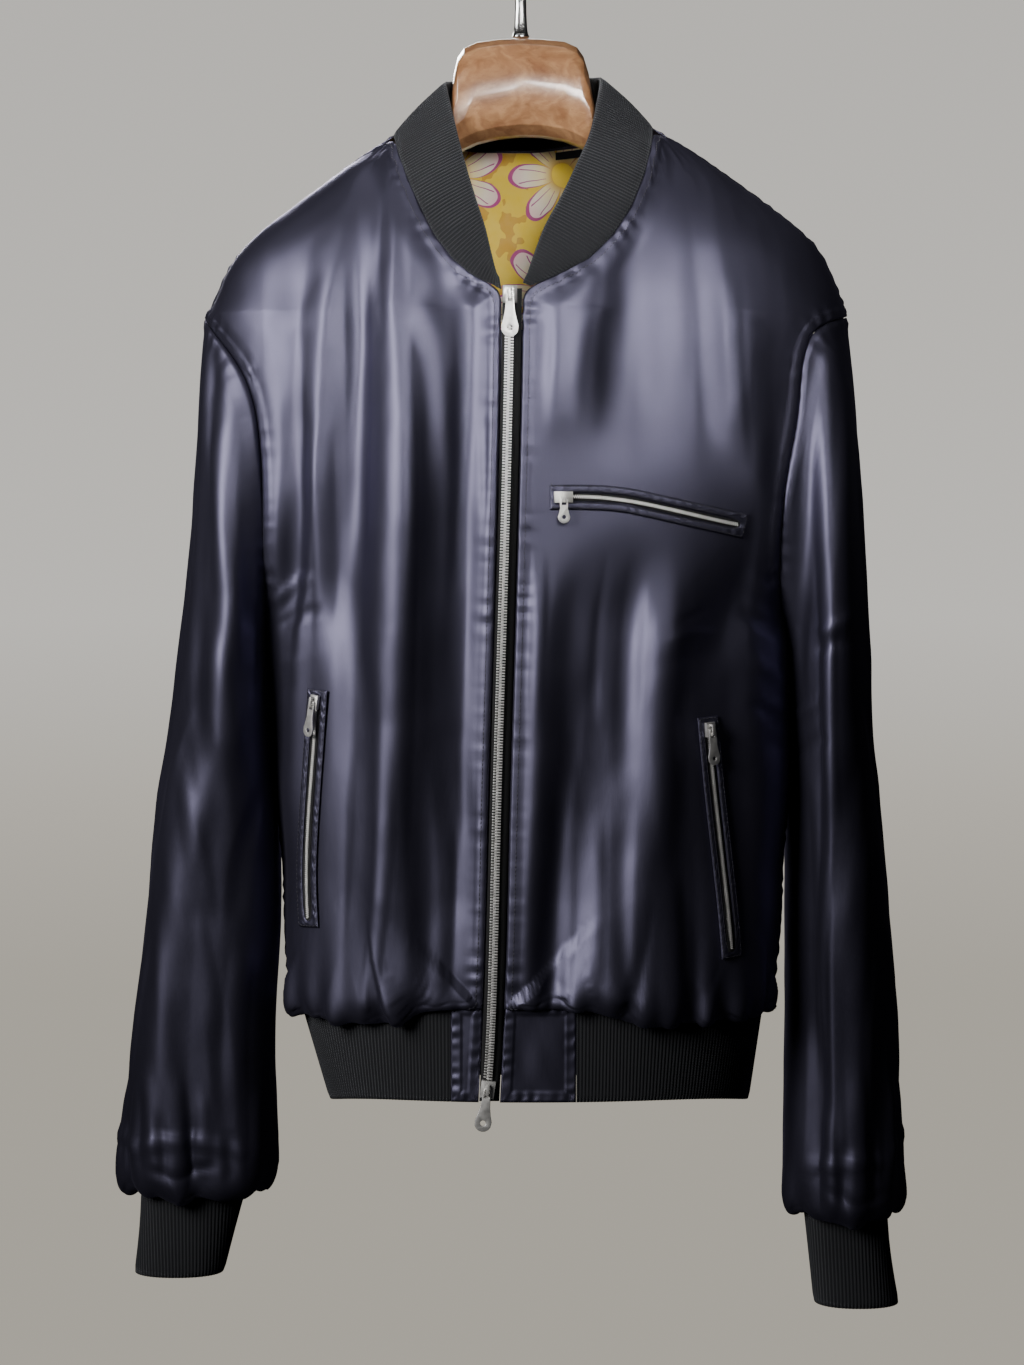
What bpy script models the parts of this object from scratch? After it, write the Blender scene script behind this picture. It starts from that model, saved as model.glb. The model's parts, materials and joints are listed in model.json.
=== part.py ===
"""Satin bomber jacket with rib collar, cuffs and hem, hung on a broad wooden hanger.

Metres. +X is the right of a front view, -Y the front and +Z up. The origin is the inside top of the
hook's bend, where a rail or peg holds the hanger. Left and right mean the left and right of a front view.
"""

import math

import bmesh
import bpy
import numpy as np
from mathutils import Vector
from mathutils.bvhtree import BVHTree

# ---------------------------------------------------------------- walls and gaps
SATIN_WALL = 0.0016  # satin shell with its lining
RIB_WALL = 0.0026  # doubled rib knit
SEAM_GAP = 0.0005  # between two pieces at a seam
LAY_GAP = 0.0006  # under a piece that lies on a panel
SHARPEST_CORNER = 0.5  # sine below which a seam step at a corner grows no more
TURNED_BACK = (0.3, -0.6)  # cosine between two panels' normals: joined walls, and separate ones
LINING_GAP = 0.0005
LINING_WALL = 0.0010
RIB_HEIGHT = 0.0005
HEM_RIBS = 62

# ---------------------------------------------------------------- mesh of the cloth
FRONT_COLUMNS = 14
BACK_COLUMNS = 20
ARMHOLE_ROWS = 9
SIDE_ROWS = 7
DENSE = 60  # points on a quarter of a body ring before it is divided evenly

# ---------------------------------------------------------------- the body
CENTRE_X = 0.004
BODY_SQUARE = 2.4  # exponent of the body's rings: 2 is an ellipse
SHOULDER_TIP_Z = -0.2675
UNDERARM_Z = -0.487
ARMHOLE_FULLNESS = 0.6  # how square the bottom of the armhole is
SHOULDER_LEVELS = (-0.2695, -0.2725, -0.2765)  # extra rows where the armhole turns down
ZIP_TO_LEFT_PANEL = 0.0055  # from the middle of the zip to each front's edge
ZIP_TO_RIGHT_PANEL = 0.0085
NECK_LEVELS = (-0.1390, -0.1560, -0.1760, -0.1980, -0.2180, -0.2350, -0.2470, -0.2555)
BLOUSE_LEVELS = (-0.7350, -0.7480, -0.7495)
SIDE_END_Z = -0.7180


def table(columns, rows):
    """A short table, as one array for each named column."""
    return dict(zip(columns.split(), np.array(rows, float).T))


# Outer edge of the body: shoulder line, then armhole, then side seam, then the blouse over the rib.
LEFT_EDGE = table("z x", (
    (-0.1390, -0.0875), (-0.1427, -0.0942), (-0.1620, -0.1186), (-0.1786, -0.1395), (-0.1960, -0.1604),
    (-0.2114, -0.1813), (-0.2190, -0.1918), (-0.2321, -0.2023), (-0.2563, -0.2128), (-0.2675, -0.2190),
    (-0.2800, -0.2110), (-0.2910, -0.2020), (-0.3050, -0.1900), (-0.3190, -0.1815), (-0.3620, -0.1765),
    (-0.4160, -0.1725), (-0.4640, -0.1710), (-0.4870, -0.1755), (-0.5200, -0.1720), (-0.5500, -0.1695),
    (-0.6050, -0.1675), (-0.6600, -0.1665), (-0.6930, -0.1657), (-0.7180, -0.1650), (-0.7350, -0.1620),
    (-0.7480, -0.1585), (-0.7495, -0.1568)))
RIGHT_EDGE = table("z x", (
    (-0.1390, 0.0910), (-0.1420, 0.0968), (-0.1500, 0.1107), (-0.1640, 0.1316), (-0.1780, 0.1525),
    (-0.1932, 0.1734), (-0.2065, 0.1943), (-0.2162, 0.2048), (-0.2370, 0.2153), (-0.2626, 0.2259),
    (-0.2675, 0.2273), (-0.2740, 0.2110), (-0.2810, 0.1980), (-0.3000, 0.1905), (-0.3370, 0.1890),
    (-0.3740, 0.1805), (-0.4010, 0.1755), (-0.4300, 0.1725), (-0.4600, 0.1720), (-0.4870, 0.1810),
    (-0.5200, 0.1820), (-0.5500, 0.1830), (-0.6050, 0.1840), (-0.6750, 0.1840), (-0.7180, 0.1806),
    (-0.7350, 0.1785), (-0.7480, 0.1750), (-0.7495, 0.1733)))
DEPTH = table("z front back", (
    (-0.1390, 0.0260, 0.0480), (-0.1560, 0.0410, 0.0570), (-0.1760, 0.0545, 0.0640),
    (-0.1980, 0.0650, 0.0690), (-0.2180, 0.0715, 0.0725), (-0.2350, 0.0755, 0.0755),
    (-0.2555, 0.0795, 0.0780), (-0.3000, 0.0840, 0.0815), (-0.3600, 0.0870, 0.0840),
    (-0.4500, 0.0885, 0.0860), (-0.5500, 0.0895, 0.0875), (-0.6500, 0.0910, 0.0900),
    (-0.7000, 0.0920, 0.0910), (-0.7180, 0.0920, 0.0905), (-0.7350, 0.0908, 0.0885),
    (-0.7480, 0.0898, 0.0870), (-0.7495, 0.0893, 0.0862)))
NECK_LEFT = table("z x", (
    (-0.1390, -0.0875), (-0.1560, -0.0835), (-0.1760, -0.0770), (-0.1980, -0.0680), (-0.2255, -0.0535),
    (-0.2430, -0.0365), (-0.2515, -0.0232), (-0.2555, -0.0128)))
NECK_RIGHT = table("z x", (
    (-0.1390, 0.0910), (-0.1560, 0.0885), (-0.1760, 0.0835), (-0.1980, 0.0745), (-0.2200, 0.0605),
    (-0.2370, 0.0425), (-0.2470, 0.0220), (-0.2555, 0.0012)))
ZIP_LINE = table("z x", (
    (-0.2555, -0.0073), (-0.3310, -0.0086), (-0.4630, -0.0120), (-0.5960, -0.0160), (-0.7300, -0.0193),
    (-0.7840, -0.0220), (-0.8100, -0.0232)))

TILT = 0.0025  # the neck sits this much higher on the right and lower on the left
TILT_FROM_Z, TILT_FULL_Z = -0.2000, -0.1450
TILT_WIDTH = 0.09
BACK_NECK_DIP = 0.0060
HEM_RISE = 0.0115  # the seam to the hem band is higher at the zip
HEM_RISE_FROM_X, HEM_RISE_TO_X = 0.050, 0.085
HEM_RISE_START_Z, HEM_RISE_FULL_Z = -0.7000, -0.7350
ZIP_STILL, ZIP_FREE = 0.012, 0.040  # folds fade out between these distances from the zip

# Long soft folds of the body, as ridges (+) and troughs (-): both ends, half width and height.
FOLDS = table("face x0 z0 x1 z1 half_width height", (
    (-1, -0.082, -0.250, -0.088, -0.690, 0.026, 0.0050),
    (-1, -0.150, -0.250, -0.156, -0.450, 0.017, -0.0055),
    (-1, -0.074, -0.180, -0.036, -0.440, 0.015, -0.0045),
    (-1, -0.118, -0.270, -0.115, -0.400, 0.012, -0.0025),
    (-1, -0.128, -0.440, -0.120, -0.700, 0.016, -0.0030),
    (-1, 0.062, -0.215, 0.032, -0.370, 0.015, 0.0035),
    (-1, 0.046, -0.420, 0.016, -0.735, 0.018, -0.0055),
    (-1, 0.092, -0.430, 0.108, -0.680, 0.030, 0.0045),
    (-1, 0.150, -0.240, 0.160, -0.430, 0.016, -0.0040),
    (-1, 0.146, -0.470, 0.158, -0.600, 0.014, -0.0030),
    (1, -0.100, -0.200, -0.070, -0.600, 0.026, 0.0040),
    (1, 0.100, -0.200, 0.076, -0.600, 0.026, 0.0040),
    (1, -0.010, -0.230, 0.000, -0.680, 0.022, -0.0035),
    (1, -0.150, -0.280, -0.140, -0.560, 0.018, -0.0045),
    (1, 0.156, -0.280, 0.148, -0.560, 0.018, -0.0045)))
FOLD_FADE = 0.35  # share of a fold's length over which each end fades
FOLD_FULL_DEPTH = 0.060  # folds have their full height where the body is this far from its middle

# Bulges of the cloth gathered into the hem band.
GATHERS = table("face x half_width height", (
    (-1, -0.118, 0.020, 0.0060), (-1, -0.076, 0.018, 0.0055), (-1, -0.044, 0.014, 0.0030),
    (-1, 0.056, 0.016, 0.0045), (-1, 0.098, 0.022, 0.0075), (-1, 0.142, 0.018, 0.0050),
    (1, -0.130, 0.020, 0.0055), (1, -0.085, 0.020, 0.0050), (1, -0.040, 0.020, 0.0060),
    (1, 0.005, 0.020, 0.0050), (1, 0.050, 0.020, 0.0060), (1, 0.095, 0.020, 0.0050),
    (1, 0.140, 0.020, 0.0055)))
GATHER_START_Z, GATHER_FULL_Z, GATHER_END_Z = -0.6500, -0.7300, -0.7495

# ---------------------------------------------------------------- the hem band
HEM = table("drop left right front back", (
    (0.0, -0.1540, 0.1703, 0.0864, 0.0832),
    (1.0, -0.1344, 0.1605, 0.0845, 0.0790)))
HEM_SQUARE = 2.4
HEM_TOP_Z = -0.7462
HEM_BOTTOM_Z = -0.8140
HEM_BOTTOM_RISE = 0.0120
TAB_LEFT_X = -0.0475
TAB_RIGHT_X = 0.0375
TAB_WALL = 0.0020

# ---------------------------------------------------------------- the sleeves
SLEEVE_SQUARE = 2.15
SLEEVE_LEFT = table("outer_x outer_z inner_x inner_z mid_y half_depth", (
    (-0.2228, -0.2998, -0.1771, -0.5061, 0.0030, 0.0670),
    (-0.2251, -0.3498, -0.1759, -0.5232, 0.0050, 0.0710),
    (-0.2284, -0.4099, -0.1745, -0.5435, 0.0080, 0.0730),
    (-0.2358, -0.4702, -0.1724, -0.5708, 0.0110, 0.0735),
    (-0.2452, -0.5307, -0.1709, -0.6042, 0.0140, 0.0725),
    (-0.2546, -0.5913, -0.1698, -0.6417, 0.0160, 0.0700),
    (-0.2613, -0.6519, -0.1691, -0.6802, 0.0170, 0.0665),
    (-0.2683, -0.7074, -0.1707, -0.7185, 0.0170, 0.0620),
    (-0.2742, -0.7627, -0.1746, -0.7627, 0.0160, 0.0570),
    (-0.2790, -0.8178, -0.1734, -0.8178, 0.0140, 0.0515),
    (-0.2810, -0.8476, -0.1746, -0.8476, 0.0120, 0.0470),
    (-0.2792, -0.8663, -0.1774, -0.8663, 0.0100, 0.0420),
    (-0.2736, -0.8789, -0.1873, -0.8789, 0.0080, 0.0320),
    (-0.2701, -0.8784, -0.1912, -0.8784, 0.0080, 0.0252)))
SLEEVE_RIGHT = table("outer_x outer_z inner_x inner_z mid_y half_depth", (
    (0.2309, -0.2998, 0.1841, -0.5061, 0.0030, 0.0670),
    (0.2341, -0.3498, 0.1853, -0.5232, 0.0050, 0.0710),
    (0.2378, -0.4049, 0.1864, -0.5435, 0.0080, 0.0730),
    (0.2419, -0.4652, 0.1873, -0.5708, 0.0110, 0.0735),
    (0.2458, -0.5257, 0.1878, -0.6062, 0.0140, 0.0725),
    (0.2503, -0.5863, 0.1879, -0.6417, 0.0160, 0.0700),
    (0.2568, -0.6469, 0.1878, -0.6802, 0.0170, 0.0665),
    (0.2644, -0.7074, 0.1881, -0.7205, 0.0170, 0.0620),
    (0.2688, -0.7678, 0.1884, -0.7678, 0.0160, 0.0570),
    (0.2688, -0.8279, 0.1869, -0.8279, 0.0140, 0.0515),
    (0.2697, -0.8607, 0.1880, -0.8607, 0.0120, 0.0470),
    (0.2686, -0.8813, 0.1905, -0.8813, 0.0100, 0.0420),
    (0.2651, -0.8944, 0.1963, -0.8944, 0.0080, 0.0320),
    (0.2611, -0.8939, 0.1989, -0.8939, 0.0080, 0.0252)))
SLEEVE_BLEND_ROWS = 4  # rows over which the ring's points turn from the armhole's to even ones
SLEEVE_WAVES = 6
SLEEVE_WAVE_SHARE = 0.075  # height of the gathers at the cuff, as a share of the ring's half width
SLEEVE_WAVE_ROWS = 4

# ---------------------------------------------------------------- the cuffs
CUFF_LEFT = table("z left right half_depth", (
    (-0.8749, -0.2686, -0.1927, 0.0236), (-0.9070, -0.2696, -0.2018, 0.0228),
    (-0.9405, -0.2739, -0.2104, 0.0222)))
CUFF_RIGHT = table("z left right half_depth", (
    (-0.8904, 0.2004, 0.2596, 0.0236), (-0.9250, 0.2044, 0.2616, 0.0228),
    (-0.9625, 0.2084, 0.2687, 0.0222)))
CUFF_Y = 0.0080
CUFF_RIBS = 20
CUFF_SQUARE = 2.2

# ---------------------------------------------------------------- the collar
# Free edge of the band, by the share of the way from the zip (0) round to the middle of the back (1).
COLLAR_EDGE = table("share left right y z", (
    (0.00, -0.0150, 0.0032, -0.0815, -0.2500), (0.10, -0.0188, 0.0078, -0.0785, -0.2350),
    (0.20, -0.0238, 0.0160, -0.0745, -0.2135), (0.30, -0.0300, 0.0265, -0.0680, -0.1940),
    (0.40, -0.0368, 0.0375, -0.0590, -0.1710), (0.50, -0.0438, 0.0480, -0.0450, -0.1450),
    (0.61, -0.0525, 0.0560, -0.0120, -0.1065), (0.75, -0.0515, 0.0550, 0.0150, -0.1010),
    (0.87, -0.0330, 0.0350, 0.0345, -0.0975), (1.00, 0.0005, 0.0005, 0.0400, -0.0960)))
COLLAR_BOW = 0.0035
COLLAR_STEP = 0.0062  # widest step along the band: two steps make a rib

# ---------------------------------------------------------------- zips
TAPE_WALL = 0.0010
TAPE_SINK = 0.0005  # tapes lie this much behind the fronts' faces
TAPE_END = 0.0008  # the tapes end this much above the hem's edge
CHAIN_HALF_WIDTH = 0.0031
CHAIN_THICK = 0.0016
CHAIN_TOP_Z, CHAIN_BOTTOM_Z = -0.2658, -0.7857
PIECE_GAP = 0.0003  # between hard pieces

SLIDER_CROWN_HALF = 0.0010
CROWN_FOOT = 0.0014
CROWN_REACH = 0.0022  # from the middle of the crown to the inside of its feet
CROWN_CLEAR = 0.0024
CROWN_THICK = 0.0012
PULL_THICK = 0.0012
PULL_EYE_HALF = 0.0016
PULL_BAR = 0.0006
PULL_EYE_LONG = 0.0052

# Sliders with their pulls: sizes, places and slants.
MAIN_SLIDER = {"width": 0.0096, "height": 0.0115, "thick": 0.0042}
POCKET_SLIDER = {"width": 0.0070, "height": 0.0096, "thick": 0.0026}
CHEST_SLIDER = {"width": 0.0125, "height": 0.0074, "thick": 0.0026}
TOP_SLIDER_Z, BOTTOM_SLIDER_Z = -0.2596, -0.7925
BOTTOM_PULL_LEAN = math.radians(8)
LEFT_PULL_LEAN = math.radians(10)
RIGHT_PULL_LEAN = math.radians(-5)
MAIN_PULL = {"length": 0.0285, "half_width": 0.0058}
POCKET_PULL = {"length": 0.0240, "half_width": 0.0044}
CHEST_PULL = {"length": 0.0175, "half_width": 0.0042}
POCKET_SLIDER_SHIFT = (0.0, -0.0050)  # from the frame's first station, in x and z
CHEST_SLIDER_SHIFT = (0.0050, 0.0)
SLIDER_SEAT_SHARE = 0.7  # how far a slider reaches over its second station
MAIN_SLIDER_REACH = 0.6  # share of its height over which it clears the tapes

# Middle lines of the pocket openings on the fronts.
CHEST_LINE = table("x z", (
    (0.0190, -0.3948), (0.0460, -0.3946), (0.0674, -0.3958), (0.0980, -0.4026), (0.1234, -0.4080),
    (0.1514, -0.4138)))
LEFT_POCKET_LINE = table("x z", (
    (-0.1368, -0.5240), (-0.1405, -0.5710), (-0.1440, -0.6160), (-0.1460, -0.6540), (-0.1440, -0.6870)))
RIGHT_POCKET_LINE = table("x z", (
    (0.1251, -0.5420), (0.1299, -0.5915), (0.1353, -0.6355), (0.1400, -0.6760), (0.1424, -0.7060)))
FRAME_WALL = 0.0012
CHEST_FRAME_HALF = 0.0083
POCKET_FRAME_HALF = 0.0072
SLOT_HALF = 0.0030
SLOT_GAP = 0.0005
FRAME_END = 0.0035
FRAME_STATIONS = 9
POCKET_ZIP_WALL = 0.0010
SLOT_END_SHARE = 0.03
LAY_SAMPLES = 5

# ---------------------------------------------------------------- hanger and hook
HANGER = table("x top bottom half_depth", (
    (-0.1980, -0.2396, -0.2476, 0.0050), (-0.1955, -0.2316, -0.2576, 0.0130),
    (-0.1890, -0.2241, -0.2636, 0.0200), (-0.1750, -0.2126, -0.2566, 0.0240),
    (-0.1500, -0.1931, -0.2366, 0.0235), (-0.1200, -0.1691, -0.2116, 0.0205),
    (-0.0950, -0.1506, -0.1926, 0.0180), (-0.0750, -0.1426, -0.1776, 0.0185),
    (-0.0560, -0.1336, -0.1641, 0.0205), (-0.0500, -0.1290, -0.1600, 0.0215),
    (-0.0480, -0.1180, -0.1580, 0.0225), (-0.0460, -0.1000, -0.1565, 0.0235),
    (-0.0435, -0.0890, -0.1550, 0.0240), (-0.0390, -0.0825, -0.1525, 0.0240),
    (-0.0300, -0.0785, -0.1485, 0.0240), (-0.0150, -0.0765, -0.1450, 0.0240),
    (0.0000, -0.0760, -0.1435, 0.0240), (0.0150, -0.0765, -0.1440, 0.0240),
    (0.0300, -0.0780, -0.1465, 0.0240), (0.0390, -0.0820, -0.1500, 0.0240),
    (0.0435, -0.0885, -0.1520, 0.0240), (0.0470, -0.1000, -0.1540, 0.0235),
    (0.0495, -0.1150, -0.1560, 0.0225), (0.0520, -0.1250, -0.1580, 0.0215),
    (0.0580, -0.1303, -0.1613, 0.0205), (0.0780, -0.1388, -0.1753, 0.0185),
    (0.1000, -0.1488, -0.1893, 0.0180), (0.1250, -0.1638, -0.2073, 0.0205),
    (0.1550, -0.1843, -0.2293, 0.0235), (0.1850, -0.2048, -0.2503, 0.0250),
    (0.1990, -0.2168, -0.2593, 0.0215), (0.2075, -0.2283, -0.2553, 0.0140),
    (0.2105, -0.2363, -0.2453, 0.0050)))
HANGER_SIDES = 14
HANGER_SQUARE = 2.3
HOOK_WIDTH = 0.0080
HOOK_THICK = 0.0030
HOOK_INNER_RADIUS = 0.0180
HOOK_FOOT_Z = -0.0764
FERRULE = {"top": -0.0729, "width": 0.0135, "thick": 0.0090}
HOOK_NECK_Z = -0.0520
HOOK_ARC = (-35.0, 205.0)
HOOK_ARC_STEPS = 14

LINING_FIRST_COLUMN = 6
LINING_DROP = 0.08  # share of the first row's height that its top edge lies under the collar seam

# Hang loop at the inside back of the neck.
LOOP_X = (0.0250, 0.0490)
LOOP_SHARES = (0.05, 0.38)  # of the lining's first row: upper and lower edge
LOOP_WALL = 0.0011


# ---------------------------------------------------------------- small maths
def smooth_curve(xs, ys, x):
    """Value at x on the smooth curve through the points, which never overshoots them."""
    xs, ys = np.asarray(xs, float), np.asarray(ys, float)
    if xs[0] > xs[-1]:
        xs, ys = xs[::-1], ys[::-1]
    width = np.diff(xs)
    slope = np.diff(ys) / width
    tangent = np.concatenate(([slope[0]], np.zeros(len(xs) - 2), [slope[-1]]))
    for i in range(1, len(xs) - 1):
        if slope[i - 1] * slope[i] > 0:
            tangent[i] = 2 * slope[i - 1] * slope[i] / (slope[i - 1] + slope[i])
    i = int(np.clip(np.searchsorted(xs, x) - 1, 0, len(xs) - 2))
    t = float(np.clip((x - xs[i]) / width[i], 0, 1))
    start = ys[i] * (1 + 2 * t) * (1 - t) ** 2 + tangent[i] * width[i] * t * (1 - t) ** 2
    end = ys[i + 1] * t * t * (3 - 2 * t) - tangent[i + 1] * width[i] * t * t * (1 - t)
    return start + end


def read(rows, column, at, key="z"):
    return smooth_curve(rows[key], rows[column], at)


def fade(value, start, end):
    """0 at start, 1 at end, smooth between."""
    t = float(np.clip((value - start) / (end - start), 0, 1))
    return t * t * (3 - 2 * t)


def unit(vector):
    return vector / np.linalg.norm(vector)


def bump(distance):
    """1 in the middle, 0 from a distance of 1, smooth between."""
    return fade(abs(distance), 1, 0)


def signed_power(value, power):
    return math.copysign(abs(value) ** power, value)


def ring_point(left, right, front, back, square, angle, centre=CENTRE_X):
    """Point of a flattened ring: angle 0 is the front, and a quarter turn is the right side."""
    half = right - centre if math.sin(angle) > 0 else centre - left
    depth = front if math.cos(angle) > 0 else back
    x = centre + half * signed_power(math.sin(angle), 2 / square)
    return x, -depth * signed_power(math.cos(angle), 2 / square)


def even(points, count):
    """The same line, as count + 1 points at even steps."""
    points = np.asarray(points, float)
    along = np.concatenate(([0], np.cumsum(np.linalg.norm(np.diff(points, axis=0), axis=1))))
    at = np.linspace(0, along[-1], count + 1)
    return np.stack([np.interp(at, along, points[:, k]) for k in range(points.shape[1])], axis=1)


def zip_x(z):
    return read(ZIP_LINE, "x", z)


# ---------------------------------------------------------------- the body's rings
def depth_at(z, face):
    return read(DEPTH, "front" if face < 0 else "back", z)


def armhole_cut(z, edge_table, face):
    """Half depth of the armhole at this level, 0 where front and back meet in a seam.

    The upper half follows the outline of the shoulder as seen from above, and the lower half closes."""
    share = (SHOULDER_TIP_Z - z) / (SHOULDER_TIP_Z - UNDERARM_Z)
    if share <= 0 or share >= 1:
        return 0.0
    reach = (read(edge_table, "x", z) - CENTRE_X) / (read(edge_table, "x", SHOULDER_TIP_Z) - CENTRE_X)
    outline = depth_at(SHOULDER_TIP_Z, face) * max(0.0, 1 - reach ** BODY_SQUARE) ** (1 / BODY_SQUARE)
    return outline * (math.sin(math.pi * share) ** ARMHOLE_FULLNESS if share > 0.5 else 1.0)


def quarter(z, edge_table, face):
    """Points of one quarter of the body ring, from the middle of a face out to the edge."""
    depth = depth_at(z, face)
    edge = read(edge_table, "x", z)
    cut = armhole_cut(z, edge_table, face)
    end = math.acos((cut / depth) ** (BODY_SQUARE / 2))
    half = (edge - CENTRE_X) / math.sin(end) ** (2 / BODY_SQUARE)
    points = []
    for angle in np.linspace(0, end, DENSE):
        x = CENTRE_X + half * math.sin(angle) ** (2 / BODY_SQUARE)
        points.append((x, face * depth * math.cos(angle) ** (2 / BODY_SQUARE)))
    points[-1] = (edge, face * cut)
    return points


def whole_face(z, face):
    """Points of the front (-1) or back (+1) half ring, from the left edge to the right one."""
    return np.array(quarter(z, LEFT_EDGE, face)[::-1] + quarter(z, RIGHT_EDGE, face)[1:])


def from_x(points, x, side):
    """The part of a front half ring beyond x on one side, starting at x."""
    at_x = np.array((x, np.interp(x, points[:, 0], points[:, 1])))
    if side < 0:
        return np.vstack((at_x, points[points[:, 0] < x - 1e-6][::-1]))
    return np.vstack((at_x, points[points[:, 0] > x + 1e-6]))


def fold_height(x, y, z):
    """How far the long folds and the gathers raise the cloth here, outwards."""
    face = -1 if y < 0 else 1
    height = 0.0
    for i in np.flatnonzero(FOLDS["face"] == face):
        start = np.array((FOLDS["x0"][i], FOLDS["z0"][i]))
        run = np.array((FOLDS["x1"][i], FOLDS["z1"][i])) - start
        share = float(np.dot((x, z) - start, run) / np.dot(run, run))
        offset = np.linalg.norm((x, z) - start - np.clip(share, 0, 1) * run)
        ends = fade(min(share, 1 - share), -0.02, FOLD_FADE)
        height += FOLDS["height"][i] * bump(offset / FOLDS["half_width"][i]) * ends
    gather = fade(z, GATHER_START_Z, GATHER_FULL_Z) * fade(z, GATHER_END_Z, GATHER_FULL_Z - 0.002)
    for i in np.flatnonzero(GATHERS["face"] == face):
        offset = (x - GATHERS["x"][i]) / GATHERS["half_width"][i]
        height += GATHERS["height"][i] * bump(offset) * gather
    height *= fade(abs(y), 0, FOLD_FULL_DEPTH)
    if face < 0:
        height *= fade(abs(x - zip_x(z)), ZIP_STILL, ZIP_FREE)
    return height


def hem_rise(x, y):
    """How much higher the hem seam is here than at the sides."""
    if y > 0:
        return 0.0
    return HEM_RISE * fade(abs(x - CENTRE_X + 0.01), HEM_RISE_TO_X, HEM_RISE_FROM_X)


def placed(x, y, z):
    """A point of an even body ring, with the folds, the tilt of the neck and the rise of the hem."""
    height = fold_height(x, y, z)
    tilt = TILT * float(np.clip(x / TILT_WIDTH, -1, 1)) * float(
        np.clip((z - TILT_FROM_Z) / (TILT_FULL_Z - TILT_FROM_Z), 0, 1))
    dip = BACK_NECK_DIP * bump(x / TILT_WIDTH) * fade(z, TILT_FROM_Z, TILT_FULL_Z) if y > 0 else 0.0
    rise = hem_rise(x, y) * fade(z, HEM_RISE_START_Z, HEM_RISE_FULL_Z)
    return x, y + math.copysign(height, y), z + tilt - dip + rise


def body_levels():
    turn = np.linspace(0, 1, ARMHOLE_ROWS + 1)
    share = 0.5 * turn + 0.25 * (1 - np.cos(math.pi * turn))
    armhole = SHOULDER_TIP_Z + share * (UNDERARM_Z - SHOULDER_TIP_Z)
    armhole = [armhole[0], *SHOULDER_LEVELS, *armhole[1:]]
    side = np.linspace(UNDERARM_Z, SIDE_END_Z, SIDE_ROWS + 1)[1:]
    return list(NECK_LEVELS) + armhole + list(side) + list(BLOUSE_LEVELS)


def front_rows(levels, side):
    """Rows of one front, each from the neckline or the zip out to the edge."""
    rows = []
    for i, z in enumerate(levels):
        if i < len(NECK_LEVELS) - 1:
            start = read(NECK_LEFT if side < 0 else NECK_RIGHT, "x", z)
        else:
            start = zip_x(z) + (-ZIP_TO_LEFT_PANEL if side < 0 else ZIP_TO_RIGHT_PANEL)
        ring = whole_face(z, -1)
        if i == 0:
            edge = ring[0] if side < 0 else ring[-1]
            line = np.repeat(edge[None], FRONT_COLUMNS + 1, axis=0)
        else:
            line = even(from_x(ring, start, side), FRONT_COLUMNS)
        rows.append([placed(x, y, z) for x, y in line])
    return rows


def back_rows(levels):
    return [[placed(x, y, z) for x, y in even(whole_face(z, 1), BACK_COLUMNS)] for z in levels]


# ---------------------------------------------------------------- the sleeves' rings
def armhole_loop(front, back, column, first, last):
    """Armhole points: shoulder tip, down the front edge, underarm, and up the back edge."""
    down = [front[i][-1] for i in range(first, last + 1)]
    up = [back[i][column] for i in range(last - 1, first, -1)]
    return down + up


def sleeve_rows(loop, rows):
    lowest = len(loop) // 2
    top, under = np.array(loop[0]), np.array(loop[lowest])
    count = len(loop)
    own = []
    for point in loop:
        share = np.clip((top[2] - point[2]) / (top[2] - under[2]), 0, 1)
        own.append(math.acos(1 - 2 * share))
    own = [a if j <= lowest else 2 * math.pi - a for j, a in enumerate(own)]
    rings = [list(loop)]
    total = len(rows["outer_x"])
    for k in range(total):
        outer = np.array((rows["outer_x"][k], rows["mid_y"][k], rows["outer_z"][k]))
        inner = np.array((rows["inner_x"][k], rows["mid_y"][k], rows["inner_z"][k]))
        middle, half = (outer + inner) / 2, (outer - inner) / 2
        wave = fade(k, total - 1 - SLEEVE_WAVE_ROWS, total - 2) if k < total - 1 else 0.0
        ring = []
        for j in range(count):
            blend = min(1.0, (k + 1) / SLEEVE_BLEND_ROWS)
            angle = own[j] + blend * (2 * math.pi * j / count - own[j])
            lift = 1 + wave * SLEEVE_WAVE_SHARE * math.cos(SLEEVE_WAVES * angle)
            along = signed_power(math.cos(angle), 2 / SLEEVE_SQUARE) * lift
            across = signed_power(math.sin(angle), 2 / SLEEVE_SQUARE) * lift
            point = middle + half * along
            point[1] -= rows["half_depth"][k] * across
            ring.append(tuple(point))
        rings.append(ring)
    return rings


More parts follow.
